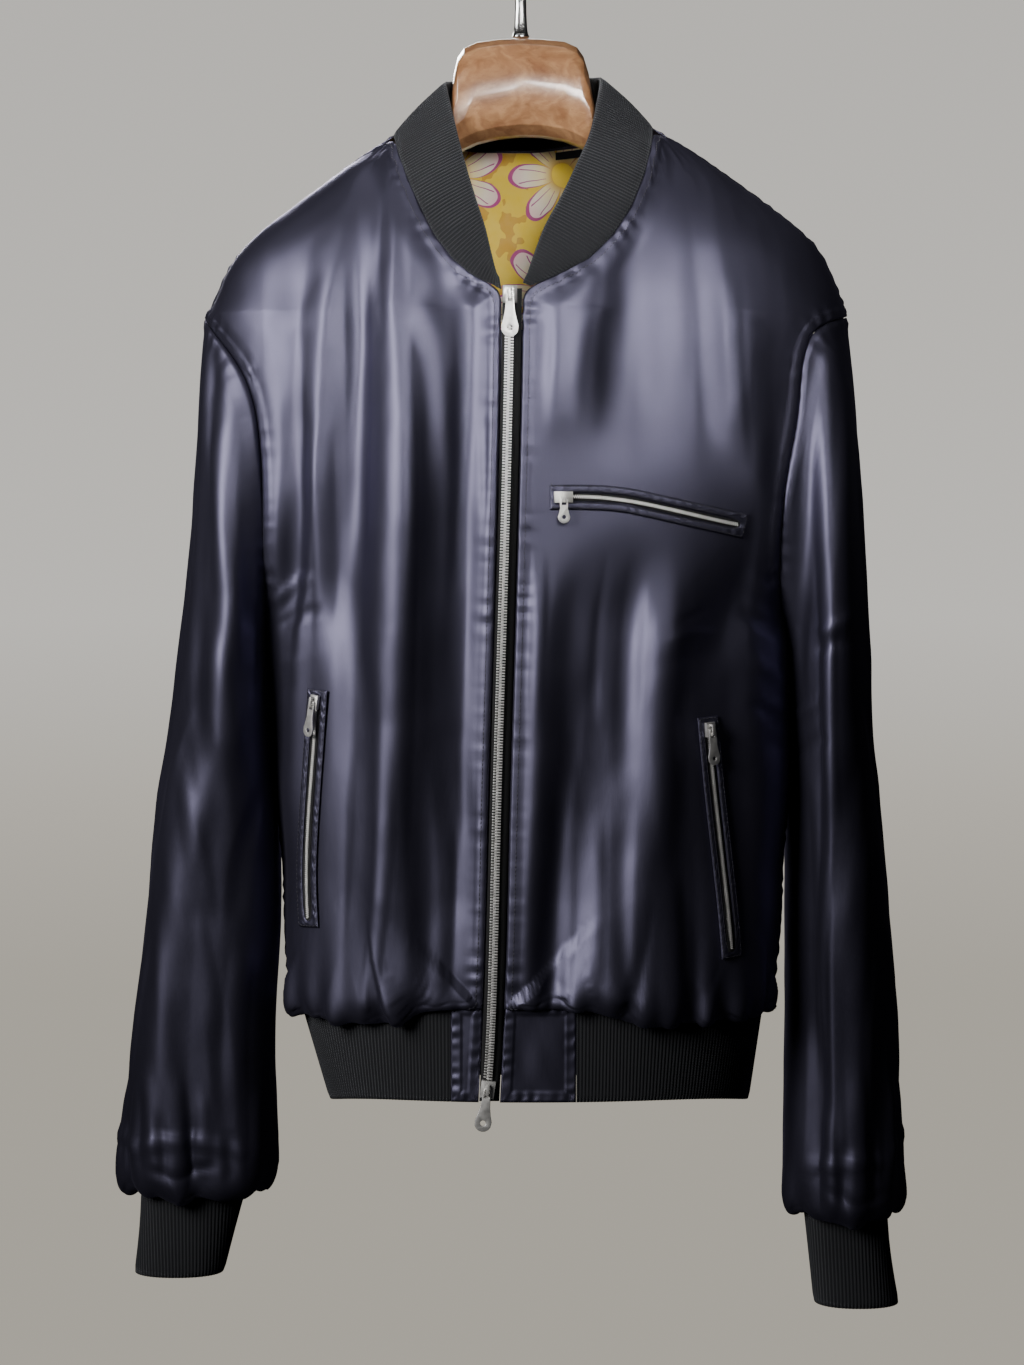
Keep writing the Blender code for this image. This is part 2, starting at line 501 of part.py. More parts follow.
# ---------------------------------------------------------------- cloth as one skin, cut into panels
class Skin:
    """Outer points shared along the seams, so that both sides of a seam have the same wall there."""

    def __init__(self):
        self.points, self.found, self.panels = [], {}, {}

    def index(self, point):
        key = tuple(round(value, 6) for value in point)
        if key not in self.found:
            self.found[key] = len(self.points)
            self.points.append(point)
        return self.found[key]

    def add(self, name, rows, flip, ring=False):
        """Adds a panel from its rows of points. Its faces point out when flip is right."""
        faces = self.panels.setdefault(name, [])
        grid = [[self.index(point) for point in row] for row in rows]
        for upper, lower in zip(grid, grid[1:]):
            columns = len(upper) if ring else len(upper) - 1
            for c in range(columns):
                d = (c + 1) % len(upper)
                quad = [upper[c], upper[d], lower[d], lower[c]]
                quad = [v for n, v in enumerate(quad) if v != quad[n - 1]]
                faces.append(quad[::-1] if flip else quad)
        return grid

    def finish(self):
        """Works out the wall's inner points once all panels are in.

        The wall follows the joined normal of all panels at a seam. Where a sleeve turns back beside
        the body, as under the arm, each wall follows its own normal instead."""
        self.outer = np.array(self.points, float)
        own = {}
        for name, faces in self.panels.items():
            sums = own.setdefault(self.group(name), np.zeros_like(self.outer))
            for face in faces:
                corners = self.outer[face]
                sums[face] += np.cross(corners[2] - corners[0], corners[-1] - corners[1])
        joined = sum(own.values())
        joined /= np.linalg.norm(joined, axis=1)[:, None]
        self.normals = {group: joined.copy() for group in own}
        for group, sums in own.items():
            for other, others in own.items():
                if other == group:
                    continue
                shared = np.flatnonzero(np.any(sums, axis=1) & np.any(others, axis=1))
                for v in shared:
                    mine, theirs = unit(sums[v]), unit(others[v])
                    share = fade(float(np.dot(mine, theirs)), *TURNED_BACK)
                    self.normals[group][v] = unit(joined[v] * (1 - share) + mine * share)
        self.inner = {group: self.outer - SATIN_WALL * normals for group, normals in self.normals.items()}

    @staticmethod
    def group(name):
        return name if name.startswith("sleeve") else "body"


def rim_of(faces):
    """The directed edges that only one face has."""
    count = {}
    for face in faces:
        for a, b in zip(face, face[1:] + face[:1]):
            count[(a, b)] = count.get((a, b), 0) + 1
    return [edge for edge in count if edge[::-1] not in count]


def rim_ways(points, faces):
    """For each rim point: the way into the panel, and the two ways along its rim."""
    rim = rim_of(faces)
    after, before = dict(rim), {b: a for a, b in rim}
    centres = {}
    for face in faces:
        middle = points[face].mean(axis=0)
        for v in face:
            if v in after:
                centres.setdefault(v, []).append(middle)
    ways = {}
    for v, middles in centres.items():
        ahead, behind = unit(points[after[v]] - points[v]), unit(points[before[v]] - points[v])
        tangent = ahead - behind
        inward = np.mean(middles, axis=0) - points[v]
        if np.linalg.norm(tangent) > 1e-6:
            tangent = unit(tangent)
            inward = inward - np.dot(inward, tangent) * tangent
        ways[v] = (unit(inward), ahead, behind)
    return ways


def seam_steps(ways, name, distance):
    """The step of each rim point of a panel into it. At an armhole it also leads away from the others."""
    armholes = {v for other in ways if other.startswith("sleeve") for v in ways[other]}
    steps = {}
    for v, (inward, ahead, behind) in ways[name].items():
        others = [ways[other][v][0] for other in ways if other != name and v in ways[other]]
        away = unit(inward - np.mean(others, axis=0)) if others and v in armholes else inward
        sine = min(np.linalg.norm(np.cross(away, ahead)), np.linalg.norm(np.cross(away, behind)))
        steps[v] = away * distance / max(sine, SHARPEST_CORNER)
    return steps


def shell(name, outer, inner, faces, material):
    """A closed wall between matching outer and inner points, which faces indexes."""
    used = sorted({v for face in faces for v in face})
    place = {v: n for n, v in enumerate(used)}
    total = len(used)
    points = [tuple(outer[v]) for v in used] + [tuple(inner[v]) for v in used]
    solid = [[place[v] for v in face] for face in faces]
    solid += [[place[v] + total for v in reversed(face)] for face in faces]
    solid += [[place[b], place[a], place[a] + total, place[b] + total] for a, b in rim_of(faces)]
    return solid_object(name, points, solid, material)


def solid_object(name, points, faces, material):
    """One object from points and faces, turned the right way out, with its rounded parts smooth."""
    mesh = bpy.data.meshes.new(name)
    mesh.from_pydata(points, [], faces)
    work = bmesh.new()
    work.from_mesh(mesh)
    bmesh.ops.triangulate(work, faces=work.faces[:])
    if work.calc_volume(signed=True) < 0:
        bmesh.ops.reverse_faces(work, faces=work.faces[:])
    work.to_mesh(mesh)
    work.free()
    mesh.shade_smooth()
    mesh.set_sharp_from_angle(angle=math.radians(40))
    mesh.materials.append(material)
    solid = bpy.data.objects.new(name, mesh)
    bpy.context.scene.collection.objects.link(solid)
    return solid


def panel(name, skin, ways, material):
    """A cut panel of the skin, its seam edges drawn back by half the gap."""
    faces = skin.panels[name]
    outer, inner = skin.outer.copy(), skin.inner[skin.group(name)].copy()
    for v, step in seam_steps(ways, name, SEAM_GAP / 2).items():
        outer[v] += step
        inner[v] += step
    return shell(name, outer, inner, faces, material)


def grid_faces(rows, columns, ring=False, keep=None):
    faces = []
    for i in range(rows - 1):
        for c in range(columns if ring else columns - 1):
            if keep is None or keep(i, c):
                d = (c + 1) % columns
                faces.append([i * columns + c, i * columns + d, (i + 1) * columns + d, (i + 1) * columns + c])
    return faces


def grid_normals(grid, ring=False):
    """Unit normals of a grid of points, from the differences of their neighbours."""
    down = np.gradient(grid, axis=0)
    if ring:
        across = np.roll(grid, -1, axis=1) - np.roll(grid, 1, axis=1)
    else:
        across = np.gradient(grid, axis=1)
    normal = np.cross(across, down)
    return normal / np.linalg.norm(normal, axis=2)[:, :, None]


def grid_shell(name, outer, inner, material, ring=False, keep=None):
    rows, columns = outer.shape[:2]
    faces = grid_faces(rows, columns, ring, keep)
    return shell(name, outer.reshape(-1, 3), inner.reshape(-1, 3), faces, material)


def material(name, color, roughness, metallic=0.0):
    made = bpy.data.materials.new(name)
    made.use_nodes = True
    made.diffuse_color = (*color, 1.0)
    shader = made.node_tree.nodes["Principled BSDF"]
    shader.inputs["Base Color"].default_value = (*color, 1.0)
    shader.inputs["Roughness"].default_value = roughness
    shader.inputs["Metallic"].default_value = metallic
    return made


# ---------------------------------------------------------------- jacket pieces
def make_body(satin):
    """The five satin panels. Returns the skin and the grids that other pieces are seated on."""
    levels = body_levels()
    tip, under = len(NECK_LEVELS), len(NECK_LEVELS) + ARMHOLE_ROWS + len(SHOULDER_LEVELS)
    left, right, back = front_rows(levels, -1), front_rows(levels, 1), back_rows(levels)
    skin = Skin()
    grids = {"front_left": skin.add("front_left", left, False),
             "front_right": skin.add("front_right", right, True),
             "back": skin.add("back", back, False)}
    skin.add("sleeve_left", sleeve_rows(armhole_loop(left, back, 0, tip, under), SLEEVE_LEFT), True, True)
    right_loop = armhole_loop(right, back, -1, tip, under)
    skin.add("sleeve_right", sleeve_rows(right_loop, SLEEVE_RIGHT), False, True)
    skin.finish()
    ways = {name: rim_ways(skin.outer, faces) for name, faces in skin.panels.items()}
    for name in skin.panels:
        panel(name, skin, ways, satin)
    return skin, grids


def make_collar(skin, grids, rib):
    """Rib band from the zip round the back of the neck, tapering to its two front ends."""
    last = len(NECK_LEVELS) - 1
    seam = [grids["front_left"][i][0] for i in range(last, 0, -1)]
    seam += list(grids["back"][0])
    seam += [grids["front_right"][i][0] for i in range(1, last + 1)]
    outer, inner = skin.outer[seam], skin.inner["body"][seam]
    base, base_in = [outer[0]], [inner[0]]
    for a in range(len(seam) - 1):
        steps = math.ceil(np.linalg.norm(outer[a + 1] - outer[a]) / COLLAR_STEP)
        for s in range(1, steps + 1):
            base.append(outer[a] + (outer[a + 1] - outer[a]) * s / steps)
            base_in.append(inner[a] + (inner[a + 1] - inner[a]) * s / steps)
    base, base_in = np.array(base), np.array(base_in)
    along = np.concatenate(([0], np.cumsum(np.linalg.norm(np.diff(base, axis=0), axis=1))))
    middle = along[np.argmax(base[:, 1])]
    edge = []
    for distance in along:
        left_side = distance <= middle
        share = distance / middle if left_side else (along[-1] - distance) / (along[-1] - middle)
        x = read(COLLAR_EDGE, "left" if left_side else "right", share, "share")
        y, z = read(COLLAR_EDGE, "y", share, "share"), read(COLLAR_EDGE, "z", share, "share")
        edge.append((x, y, z + TILT * x / TILT_WIDTH))
    edge = np.array(edge)
    rise = edge - base
    rise /= np.linalg.norm(rise, axis=1)[:, None]
    first = base + rise * SEAM_GAP / 2
    first_in = base_in + rise * SEAM_GAP / 2
    centre = (base + edge) / 2
    out = centre * (1, 1, 0)
    width = np.linalg.norm(edge - base, axis=1)
    bow = COLLAR_BOW * np.minimum(1, width / width.max() * 1.5)
    centre += out / np.linalg.norm(out, axis=1)[:, None] * bow[:, None]
    grid = np.stack([first, centre, edge])
    normal = grid_normals(grid)
    if np.sum(normal[1] * out) < 0:
        normal = -normal
    back_face = grid - RIB_WALL * normal
    back_face[0] = first_in
    crest = (np.arange(len(base)) % 2) * RIB_HEIGHT
    grid = grid + normal * crest[None, :, None]
    grid_shell("collar", grid, back_face, rib)


def hem_ring(drop, angle):
    """Point of the hem band's outer face, from its top edge (0) to its bottom edge (1)."""
    sizes = [read(HEM, column, drop, "drop") for column in ("left", "right", "front", "back")]
    x, y = ring_point(*sizes, HEM_SQUARE, angle)
    top = HEM_TOP_Z + hem_rise(x, y)
    bottom = HEM_BOTTOM_Z + HEM_BOTTOM_RISE * fade(-y, 0, sizes[2])
    return x, y, top + (bottom - top) * drop


def hem_angle(drop, x):
    """Angle of the front point at this x, at this height of the band."""
    side = read(HEM, "right" if x > CENTRE_X else "left", drop, "drop")
    share = (x - CENTRE_X) / (side - CENTRE_X)
    return math.copysign(math.asin(share ** (HEM_SQUARE / 2)), x - CENTRE_X)


def hem_piece(name, ends, count, wall, made_of, ribbed=False):
    """A stretch of the band. ends gives its first and last angle at each height."""
    rows = []
    for drop in (0.0, 0.5, 1.0) if not ribbed else (0.0, 1.0):
        dense = np.linspace(*ends(drop), 400)
        rows.append(even([hem_ring(drop, angle) for angle in dense], count))
    grid = np.array(rows)
    normal = grid_normals(grid)
    if np.sum(normal * (grid - (CENTRE_X, 0, 0)) * (1, 1, 0)) < 0:
        normal = -normal
    back_face = grid - wall * normal
    if ribbed:
        grid = grid + normal * ((np.arange(count + 1) % 2) * RIB_HEIGHT)[None, :, None]
    grid_shell(name, grid, back_face, made_of)


def hem_zip_x(drop, side):
    """Edge of a hem tab at the zip, at this height of the band."""
    z = HEM_TOP_Z + HEM_RISE + drop * (HEM_BOTTOM_Z + HEM_BOTTOM_RISE - HEM_TOP_Z - HEM_RISE)
    return zip_x(z) + (-ZIP_TO_LEFT_PANEL if side < 0 else ZIP_TO_RIGHT_PANEL) + side * SEAM_GAP / 2


def make_hem(rib, satin):
    seam = SEAM_GAP / 2

    def left(drop):
        return hem_angle(drop, TAB_LEFT_X + seam), hem_angle(drop, hem_zip_x(drop, -1))

    def right(drop):
        return hem_angle(drop, hem_zip_x(drop, 1)), hem_angle(drop, TAB_RIGHT_X - seam)

    def round_back(drop):
        return hem_angle(drop, TAB_RIGHT_X + seam), 2 * math.pi + hem_angle(drop, TAB_LEFT_X - seam)

    hem_piece("hem_tab_left", left, 3, TAB_WALL, satin)
    hem_piece("hem_tab_right", right, 5, TAB_WALL, satin)
    hem_piece("hem_rib", round_back, HEM_RIBS * 2, RIB_WALL, rib, ribbed=True)


def make_cuff(name, rows, rib):
    count = CUFF_RIBS * 2
    angles = np.arange(count) * 2 * math.pi / count
    grid = []
    for k in range(len(rows["z"])):
        middle = (rows["left"][k] + rows["right"][k]) / 2
        sizes = rows["left"][k], rows["right"][k], rows["half_depth"][k], rows["half_depth"][k]
        ring = [ring_point(*sizes, CUFF_SQUARE, a, middle) for a in angles]
        grid.append([(x, y + CUFF_Y, rows["z"][k]) for x, y in ring])
    grid = np.array(grid)
    normal = grid_normals(grid, ring=True)
    out = grid - grid.mean(axis=1, keepdims=True)
    if np.sum(normal * out) < 0:
        normal = -normal
    back_face = grid - RIB_WALL * normal
    grid = grid + normal * ((np.arange(count) % 2) * RIB_HEIGHT)[None, :, None]
    grid_shell(name, grid, back_face, rib, ring=True)


def make_lining(skin, grids, print_cloth, black):
    """The lining where it shows inside the neck, and the hang loop on it."""
    rows = range(len(NECK_LEVELS) + 2)
    columns = range(LINING_FIRST_COLUMN, BACK_COLUMNS - LINING_FIRST_COLUMN + 1)
    grid = np.array([[grids["back"][i][c] for c in columns] for i in rows])
    wall, normal = skin.inner["body"][grid], skin.normals["body"][grid]
    outer = wall - LINING_GAP * normal
    outer[0] += (outer[1] - outer[0]) * LINING_DROP
    inner = outer - LINING_WALL * normal
    grid_shell("back_lining", outer, inner, print_cloth)
    loop = []
    for share in LOOP_SHARES:
        line = (inner + (-LAY_GAP - LOOP_WALL) * normal)[0:2]
        line = line[0] + (line[1] - line[0]) * share
        places = np.linspace(*LOOP_X, 6)
        loop.append(np.stack([np.interp(places, line[:, 0], line[:, k]) for k in range(3)], axis=1))
    loop = np.array(loop)
    out = grid_normals(loop)
    out *= math.copysign(1, out[0, 0, 1])
    grid_shell("hang_loop", loop + LOOP_WALL * out, loop, black)


# ---------------------------------------------------------------- zips and their hard pieces
def zip_track(skin, grids):
    """Rows along the zip: z, the two fronts' edges and the y of the tapes' faces."""
    track = []
    for i in range(len(NECK_LEVELS) - 1, len(grids["back"])):
        left = skin.outer[grids["front_left"][i][0]]
        right = skin.outer[grids["front_right"][i][0]]
        track.append((left[2], left[0], right[0], (left[1] + right[1]) / 2 + TAPE_SINK))
    for drop in (0.5, 1.0):
        left, right = hem_zip_x(drop, -1), hem_zip_x(drop, 1)
        foot = hem_ring(drop, hem_angle(drop, (left + right) / 2))
        track.append((foot[2] + TAPE_END * (drop == 1.0), left, right, foot[1] + TAPE_SINK))
    z, left, right, y = np.array(track).T
    return {"z": z, "left": left, "right": right, "y": y}


def track_y(track, z, reach=0.0):
    """The foremost y of the tapes within this reach up and down the zip."""
    return min(float(np.interp(-at, -track["z"], track["y"])) for at in (z - reach, z, z + reach))


def make_zip(track, tape, metal):
    for name, side in (("zip_tape_left", -1), ("zip_tape_right", 1)):
        rows = []
        for z, left, right, y in zip(track["z"], track["left"], track["right"], track["y"]):
            middle = zip_x(z) + side * PIECE_GAP / 2
            edge = left + SEAM_GAP if side < 0 else right - SEAM_GAP
            rows.append(((edge, y, z), (middle, y, z)))
        rows = np.array(rows)
        grid_shell(name, rows, rows + (0, TAPE_WALL, 0), tape)
    levels = [CHAIN_TOP_Z] + [z for z in track["z"] if CHAIN_BOTTOM_Z < z < CHAIN_TOP_Z] + [CHAIN_BOTTOM_Z]
    back_face = np.array([[(zip_x(z) + side * CHAIN_HALF_WIDTH, track_y(track, z) - PIECE_GAP, z)
                           for side in (-1, 1)] for z in levels])
    grid_shell("zip_chain", back_face - (0, CHAIN_THICK, 0), back_face, metal)


def cell_object(name, xs, ys, zs, filled, made_of):
    """One solid from the filled cells of a small grid of boxes, with no faces inside it."""
    points, faces, found = [], [], {}

    def corner(i, j, k):
        if (i, j, k) not in found:
            found[(i, j, k)] = len(points)
            points.append((xs[i], ys[j], zs[k]))
        return found[(i, j, k)]

    for i, j, k in filled:
        for axis in range(3):
            for step in (0, 1):
                beside = [i, j, k]
                beside[axis] += 2 * step - 1
                if tuple(beside) in filled:
                    continue
                u, v = (axis + 1) % 3, (axis + 2) % 3
                quad = []
                for du, dv in ((0, 0), (1, 0), (1, 1), (0, 1)):
                    cell = [i, j, k]
                    cell[axis] += step
                    cell[u] += du
                    cell[v] += dv
                    quad.append(corner(*cell))
                faces.append(quad if step else quad[::-1])
    return solid_object(name, points, faces, made_of)


def make_slider(name, at, turn, size, metal):
    """Zip slider with a crown that the pull's crossbar passes under. at is the middle of its back."""
    half, tall, thick = size["width"] / 2, size["height"] / 2, size["thick"]
    foot = CROWN_REACH + CROWN_FOOT
    xs = (-half, -SLIDER_CROWN_HALF, SLIDER_CROWN_HALF, half)
    ys = (0.0, -thick, -thick - CROWN_CLEAR, -thick - CROWN_CLEAR - CROWN_THICK)
    zs = (-max(tall, foot + 0.0001), -foot, -CROWN_REACH, CROWN_REACH, foot, max(tall, foot + 0.0001))
    filled = {(i, 0, k) for i in range(3) for k in range(5)}
    filled |= {(1, 1, 1), (1, 1, 3), (1, 2, 1), (1, 2, 2), (1, 2, 3)}
    slider = cell_object(name, xs, ys, zs, filled, metal)
    slider.location = at
    slider.rotation_euler = turn


def pull_outline(length, half_width):
    """Right half of a pull tab's edge, from its crossbar down to its round end."""
    neck = half_width * 0.52
    eye = PULL_EYE_HALF + 0.0012
    stations = table("down half", (
        (-PULL_BAR, eye - 0.0004), (PULL_EYE_LONG * 0.5, eye), (PULL_EYE_LONG + 0.0010, eye),
        (length * 0.42, neck + 0.0004), (length * 0.60, half_width * 0.78), (length * 0.75, half_width)))
    points = [(half, -down) for down, half in zip(stations["down"], stations["half"])]
    start = length - half_width
    for turn in np.linspace(0, math.pi / 2, 5)[1:]:
        points.append((half_width * math.cos(turn), -start - half_width * math.sin(turn)))
    return points


def make_pull(name, axis_at, turn, length, half_width, metal):
    """Pull tab with a crossbar, an eye round the crown, and a round hole. Its origin is its hinge."""
    curve = bpy.data.curves.new(name, "CURVE")
    curve.dimensions = "2D"
    curve.fill_mode = "BOTH"
    curve.extrude = PULL_THICK / 2
    right = pull_outline(length, half_width)
    outline = right + [(-x, y) for x, y in reversed(right[:-1])]
    eye = [(-PULL_EYE_HALF, -PULL_BAR), (PULL_EYE_HALF, -PULL_BAR), (PULL_EYE_HALF, -PULL_EYE_LONG),
           (-PULL_EYE_HALF, -PULL_EYE_LONG)]
    hole_at, hole = length - half_width * 1.02, half_width * 0.34
    turns = [2 * math.pi * n / 10 for n in range(10)]
    hole = [(hole * math.cos(t), -hole_at + hole * math.sin(t)) for t in turns]
    for loop in (outline, eye, hole):
        spline = curve.splines.new("POLY")
        spline.points.add(len(loop) - 1)
        for point, (x, y) in zip(spline.points, loop):
            point.co = (x, y, 0, 1)
        spline.use_cyclic_u = True
    curve.materials.append(metal)
    pull = bpy.data.objects.new(name, curve)
    bpy.context.scene.collection.objects.link(pull)
    pull.location = axis_at
    pull.rotation_euler = (math.pi / 2 + turn[0], turn[1], turn[2])


def slider_and_pull(prefix, suffix, at, lean, yaw, size, pull, metal):
    """A slider whose back is at this point, with its pull hanging under its crown.

    lean turns it in the plane of the zip, and yaw turns it with the cloth round the body."""
    turn = (0.0, lean, yaw)
    make_slider(f"{prefix}slider{suffix}", at, turn, size, metal)
    out = Vector((math.sin(yaw), -math.cos(yaw), 0.0))
    axis_at = Vector(at) + out * (size["thick"] + CROWN_CLEAR / 2)
    make_pull(f"{prefix}pull{suffix}", axis_at, turn, pull["length"], pull["half_width"], metal)


class Face:
    """Front face of a panel, to seat what lies on it."""

    def __init__(self, skin, name):
        self.tree = BVHTree.FromPolygons([Vector(p) for p in skin.outer], skin.panels[name])

    def y(self, x, z):
        return self.tree.ray_cast(Vector((x, -1, z)), Vector((0, 1, 0)))[0].y

    def laid(self, grid, keep):
        """A grid of (x, z) places as points just in front of the panel, clear of its bends."""
        points = np.array([[(x, self.y(x, z), z) for x, z in row] for row in grid])
        lift = np.zeros(points.shape[:2])
        shares = np.linspace(0, 1, LAY_SAMPLES)
        for i in range(len(points) - 1):
            for c in range(points.shape[1] - 1):
                if not keep(i, c):
                    continue
                worst = 0.0
                for s in shares:
                    for t in shares:
                        upper = points[i, c] * (1 - t) + points[i, c + 1] * t
                        lower = points[i + 1, c] * (1 - t) + points[i + 1, c + 1] * t
                        x, y, z = upper * (1 - s) + lower * s
                        worst = max(worst, y - self.y(x, z))
                lift[i:i + 2, c:c + 2] = np.maximum(lift[i:i + 2, c:c + 2], worst)
        points[:, :, 1] -= lift
        return points


def pocket_stations(line):
    """Even places along a pocket's middle line, with one close to each end, and the way across it."""
    places = even(np.stack([line["x"], line["z"]], axis=1), 200)
    length = float(np.sum(np.linalg.norm(np.diff(places, axis=0), axis=1)))
    shares = [0.0] + list(np.linspace(FRAME_END / length, 1 - FRAME_END / length, FRAME_STATIONS)) + [1.0]
    at = np.array(shares) * (len(places) - 1)
    middles = np.stack([np.interp(at, range(len(places)), places[:, k]) for k in (0, 1)], axis=1)
    run = np.gradient(middles, axis=0)
    run /= np.linalg.norm(run, axis=1)[:, None]
    return middles, np.stack([-run[:, 1], run[:, 0]], axis=1)


def make_pocket(prefix, line, half, face, cloth, metal):
    """A welted zip opening on a front: its frame, and the zip inside the frame's slot.

    Returns the frame's outer points and how far the cloth there turns round the body."""
    middles, across = pocket_stations(line)
    offsets = np.array((-half, -SLOT_HALF, SLOT_HALF, half))
    places = middles[:, None, :] + across[:, None, :] * offsets[None, :, None]

    def keep(i, c):
        return c != 1 or i in (0, len(middles) - 2)

    frame = face.laid(places, keep)
    if abs(across[0][0]) < abs(across[0][1]):
        slope = frame[-1, 1] - frame[0, 1]
    else:
        slope = np.mean((frame[:, 3] - frame[:, 0]) * np.sign(frame[:, 3, :1] - frame[:, 0, :1]), axis=0)
    yaw = math.atan2(slope[1], slope[0])
    out = np.array((math.sin(yaw), -math.cos(yaw), 0.0))
    outer = frame + out * (LAY_GAP + FRAME_WALL)
    grid_shell(f"{prefix}frame", outer, frame + out * LAY_GAP, cloth, keep=keep)
    inner_places = middles[1:-1].copy()
    inner_places[0] += (inner_places[1] - inner_places[0]) * SLOT_END_SHARE
    inner_places[-1] += (inner_places[-2] - inner_places[-1]) * SLOT_END_SHARE
    sides = np.array((-SLOT_HALF + SLOT_GAP, SLOT_HALF - SLOT_GAP))
    chain = face.laid(inner_places[:, None, :] + across[1:-1, None, :] * sides[None, :, None],
                      lambda i, c: True)
    grid_shell(f"{prefix}zip", chain + out * (LAY_GAP + POCKET_ZIP_WALL), chain + out * LAY_GAP, metal)
    return outer, yaw


def seat_on(outer, yaw, station, shift):
    """Point for the back of a slider on a pocket's frame, clear of the frame's first points."""
    out = np.array((math.sin(yaw), -math.cos(yaw), 0.0))
    middle = (outer[station, 1] + outer[station, 2]) / 2 + (shift[0], 0.0, shift[1])
    beyond = outer[station] + (outer[station + 1] - outer[station]) * SLIDER_SEAT_SHARE
    under = np.concatenate((outer[:station + 1].reshape(-1, 3), beyond))
    lift = max(float(np.dot(point - middle, out)) for point in under)
    return middle + out * (lift + PIECE_GAP)


def make_pockets(skin, satin, metal):
    left_face, right_face = Face(skin, "front_left"), Face(skin, "front_right")
    outer, yaw = make_pocket("chest_pocket_", CHEST_LINE, CHEST_FRAME_HALF, right_face, satin, metal)
    at = seat_on(outer, yaw, 1, CHEST_SLIDER_SHIFT)
    slider_and_pull("chest_", "", at, 0.0, yaw, CHEST_SLIDER, CHEST_PULL, metal)
    for prefix, line, face, lean in (
            ("side_pocket_left_", LEFT_POCKET_LINE, left_face, LEFT_PULL_LEAN),
            ("side_pocket_right_", RIGHT_POCKET_LINE, right_face, RIGHT_PULL_LEAN)):
        outer, yaw = make_pocket(prefix, line, POCKET_FRAME_HALF, face, satin, metal)
        at = seat_on(outer, yaw, 1, POCKET_SLIDER_SHIFT)
        slider_and_pull(prefix, "", at, lean, yaw, POCKET_SLIDER, POCKET_PULL, metal)


# ---------------------------------------------------------------- hanger and hook
def make_hanger(wood):
    rings = []
    for x, top, bottom, half_depth in zip(*(HANGER[c] for c in ("x", "top", "bottom", "half_depth"))):
        middle, half = (top + bottom) / 2, (top - bottom) / 2
        for n in range(HANGER_SIDES):
            turn = 2 * math.pi * (n + 0.5) / HANGER_SIDES
            y = half_depth * signed_power(math.sin(turn), 2 / HANGER_SQUARE)
            z = middle + half * signed_power(math.cos(turn), 2 / HANGER_SQUARE)
            rings.append((x, y, z))
    count = len(HANGER["x"])
    faces = grid_faces(count, HANGER_SIDES, ring=True)
    faces.append(list(range(HANGER_SIDES))[::-1])
    faces.append([(count - 1) * HANGER_SIDES + n for n in range(HANGER_SIDES)])
    solid_object("hanger", rings, faces, wood)


def hook_path():
    """Centre line of the flat hook in the plane x = 0, with its width and thickness at each point."""
    radius = HOOK_INNER_RADIUS + HOOK_THICK / 2
    centre = np.array((0.0, -HOOK_INNER_RADIUS))
    turns = [math.radians(a) for a in np.linspace(*HOOK_ARC, HOOK_ARC_STEPS + 1)]
    arc = [centre + radius * np.array((math.cos(a), math.sin(a))) for a in turns]
    start, end = np.array((0.0, HOOK_NECK_Z)), arc[0]
    handle_a = start + (0, 0.009)
    handle_b = end - 0.009 * np.array((-math.sin(turns[0]), math.cos(turns[0])))
    bend = []
    for t in np.linspace(0, 1, 6)[:-1]:
        bend.append(start * (1 - t) ** 3 + 3 * handle_a * t * (1 - t) ** 2
                    + 3 * handle_b * t * t * (1 - t) + end * t ** 3)
    path = [((0.0, HOOK_FOOT_Z), FERRULE["width"], FERRULE["thick"]),
            ((0.0, FERRULE["top"]), FERRULE["width"], FERRULE["thick"]),
            ((0.0, FERRULE["top"] + 0.0004), HOOK_WIDTH, HOOK_THICK)]
    return path + [(tuple(p), HOOK_WIDTH, HOOK_THICK) for p in bend + arc]


def make_hook(steel):
    path = hook_path()
    line = np.array([p for p, _, _ in path])
    run = np.gradient(line, axis=0)
    run[:3] = (0, 1)
    run /= np.linalg.norm(run, axis=1)[:, None]
    points = []
    for (y, z), (dy, dz), (_, width, thick) in zip(line, run, path):
        side = np.array((dz, -dy)) * thick / 2
        for sx, s in ((-1, -1), (1, -1), (1, 1), (-1, 1)):
            points.append((sx * width / 2, y + s * side[0], z + s * side[1]))
    faces = grid_faces(len(path), 4, ring=True)
    faces.append([3, 2, 1, 0])
    faces.append([len(points) - 4 + n for n in range(4)])
    solid_object("hook", points, faces, steel)


def clear_scene():
    for old in list(bpy.data.objects):
        bpy.data.objects.remove(old, do_unlink=True)


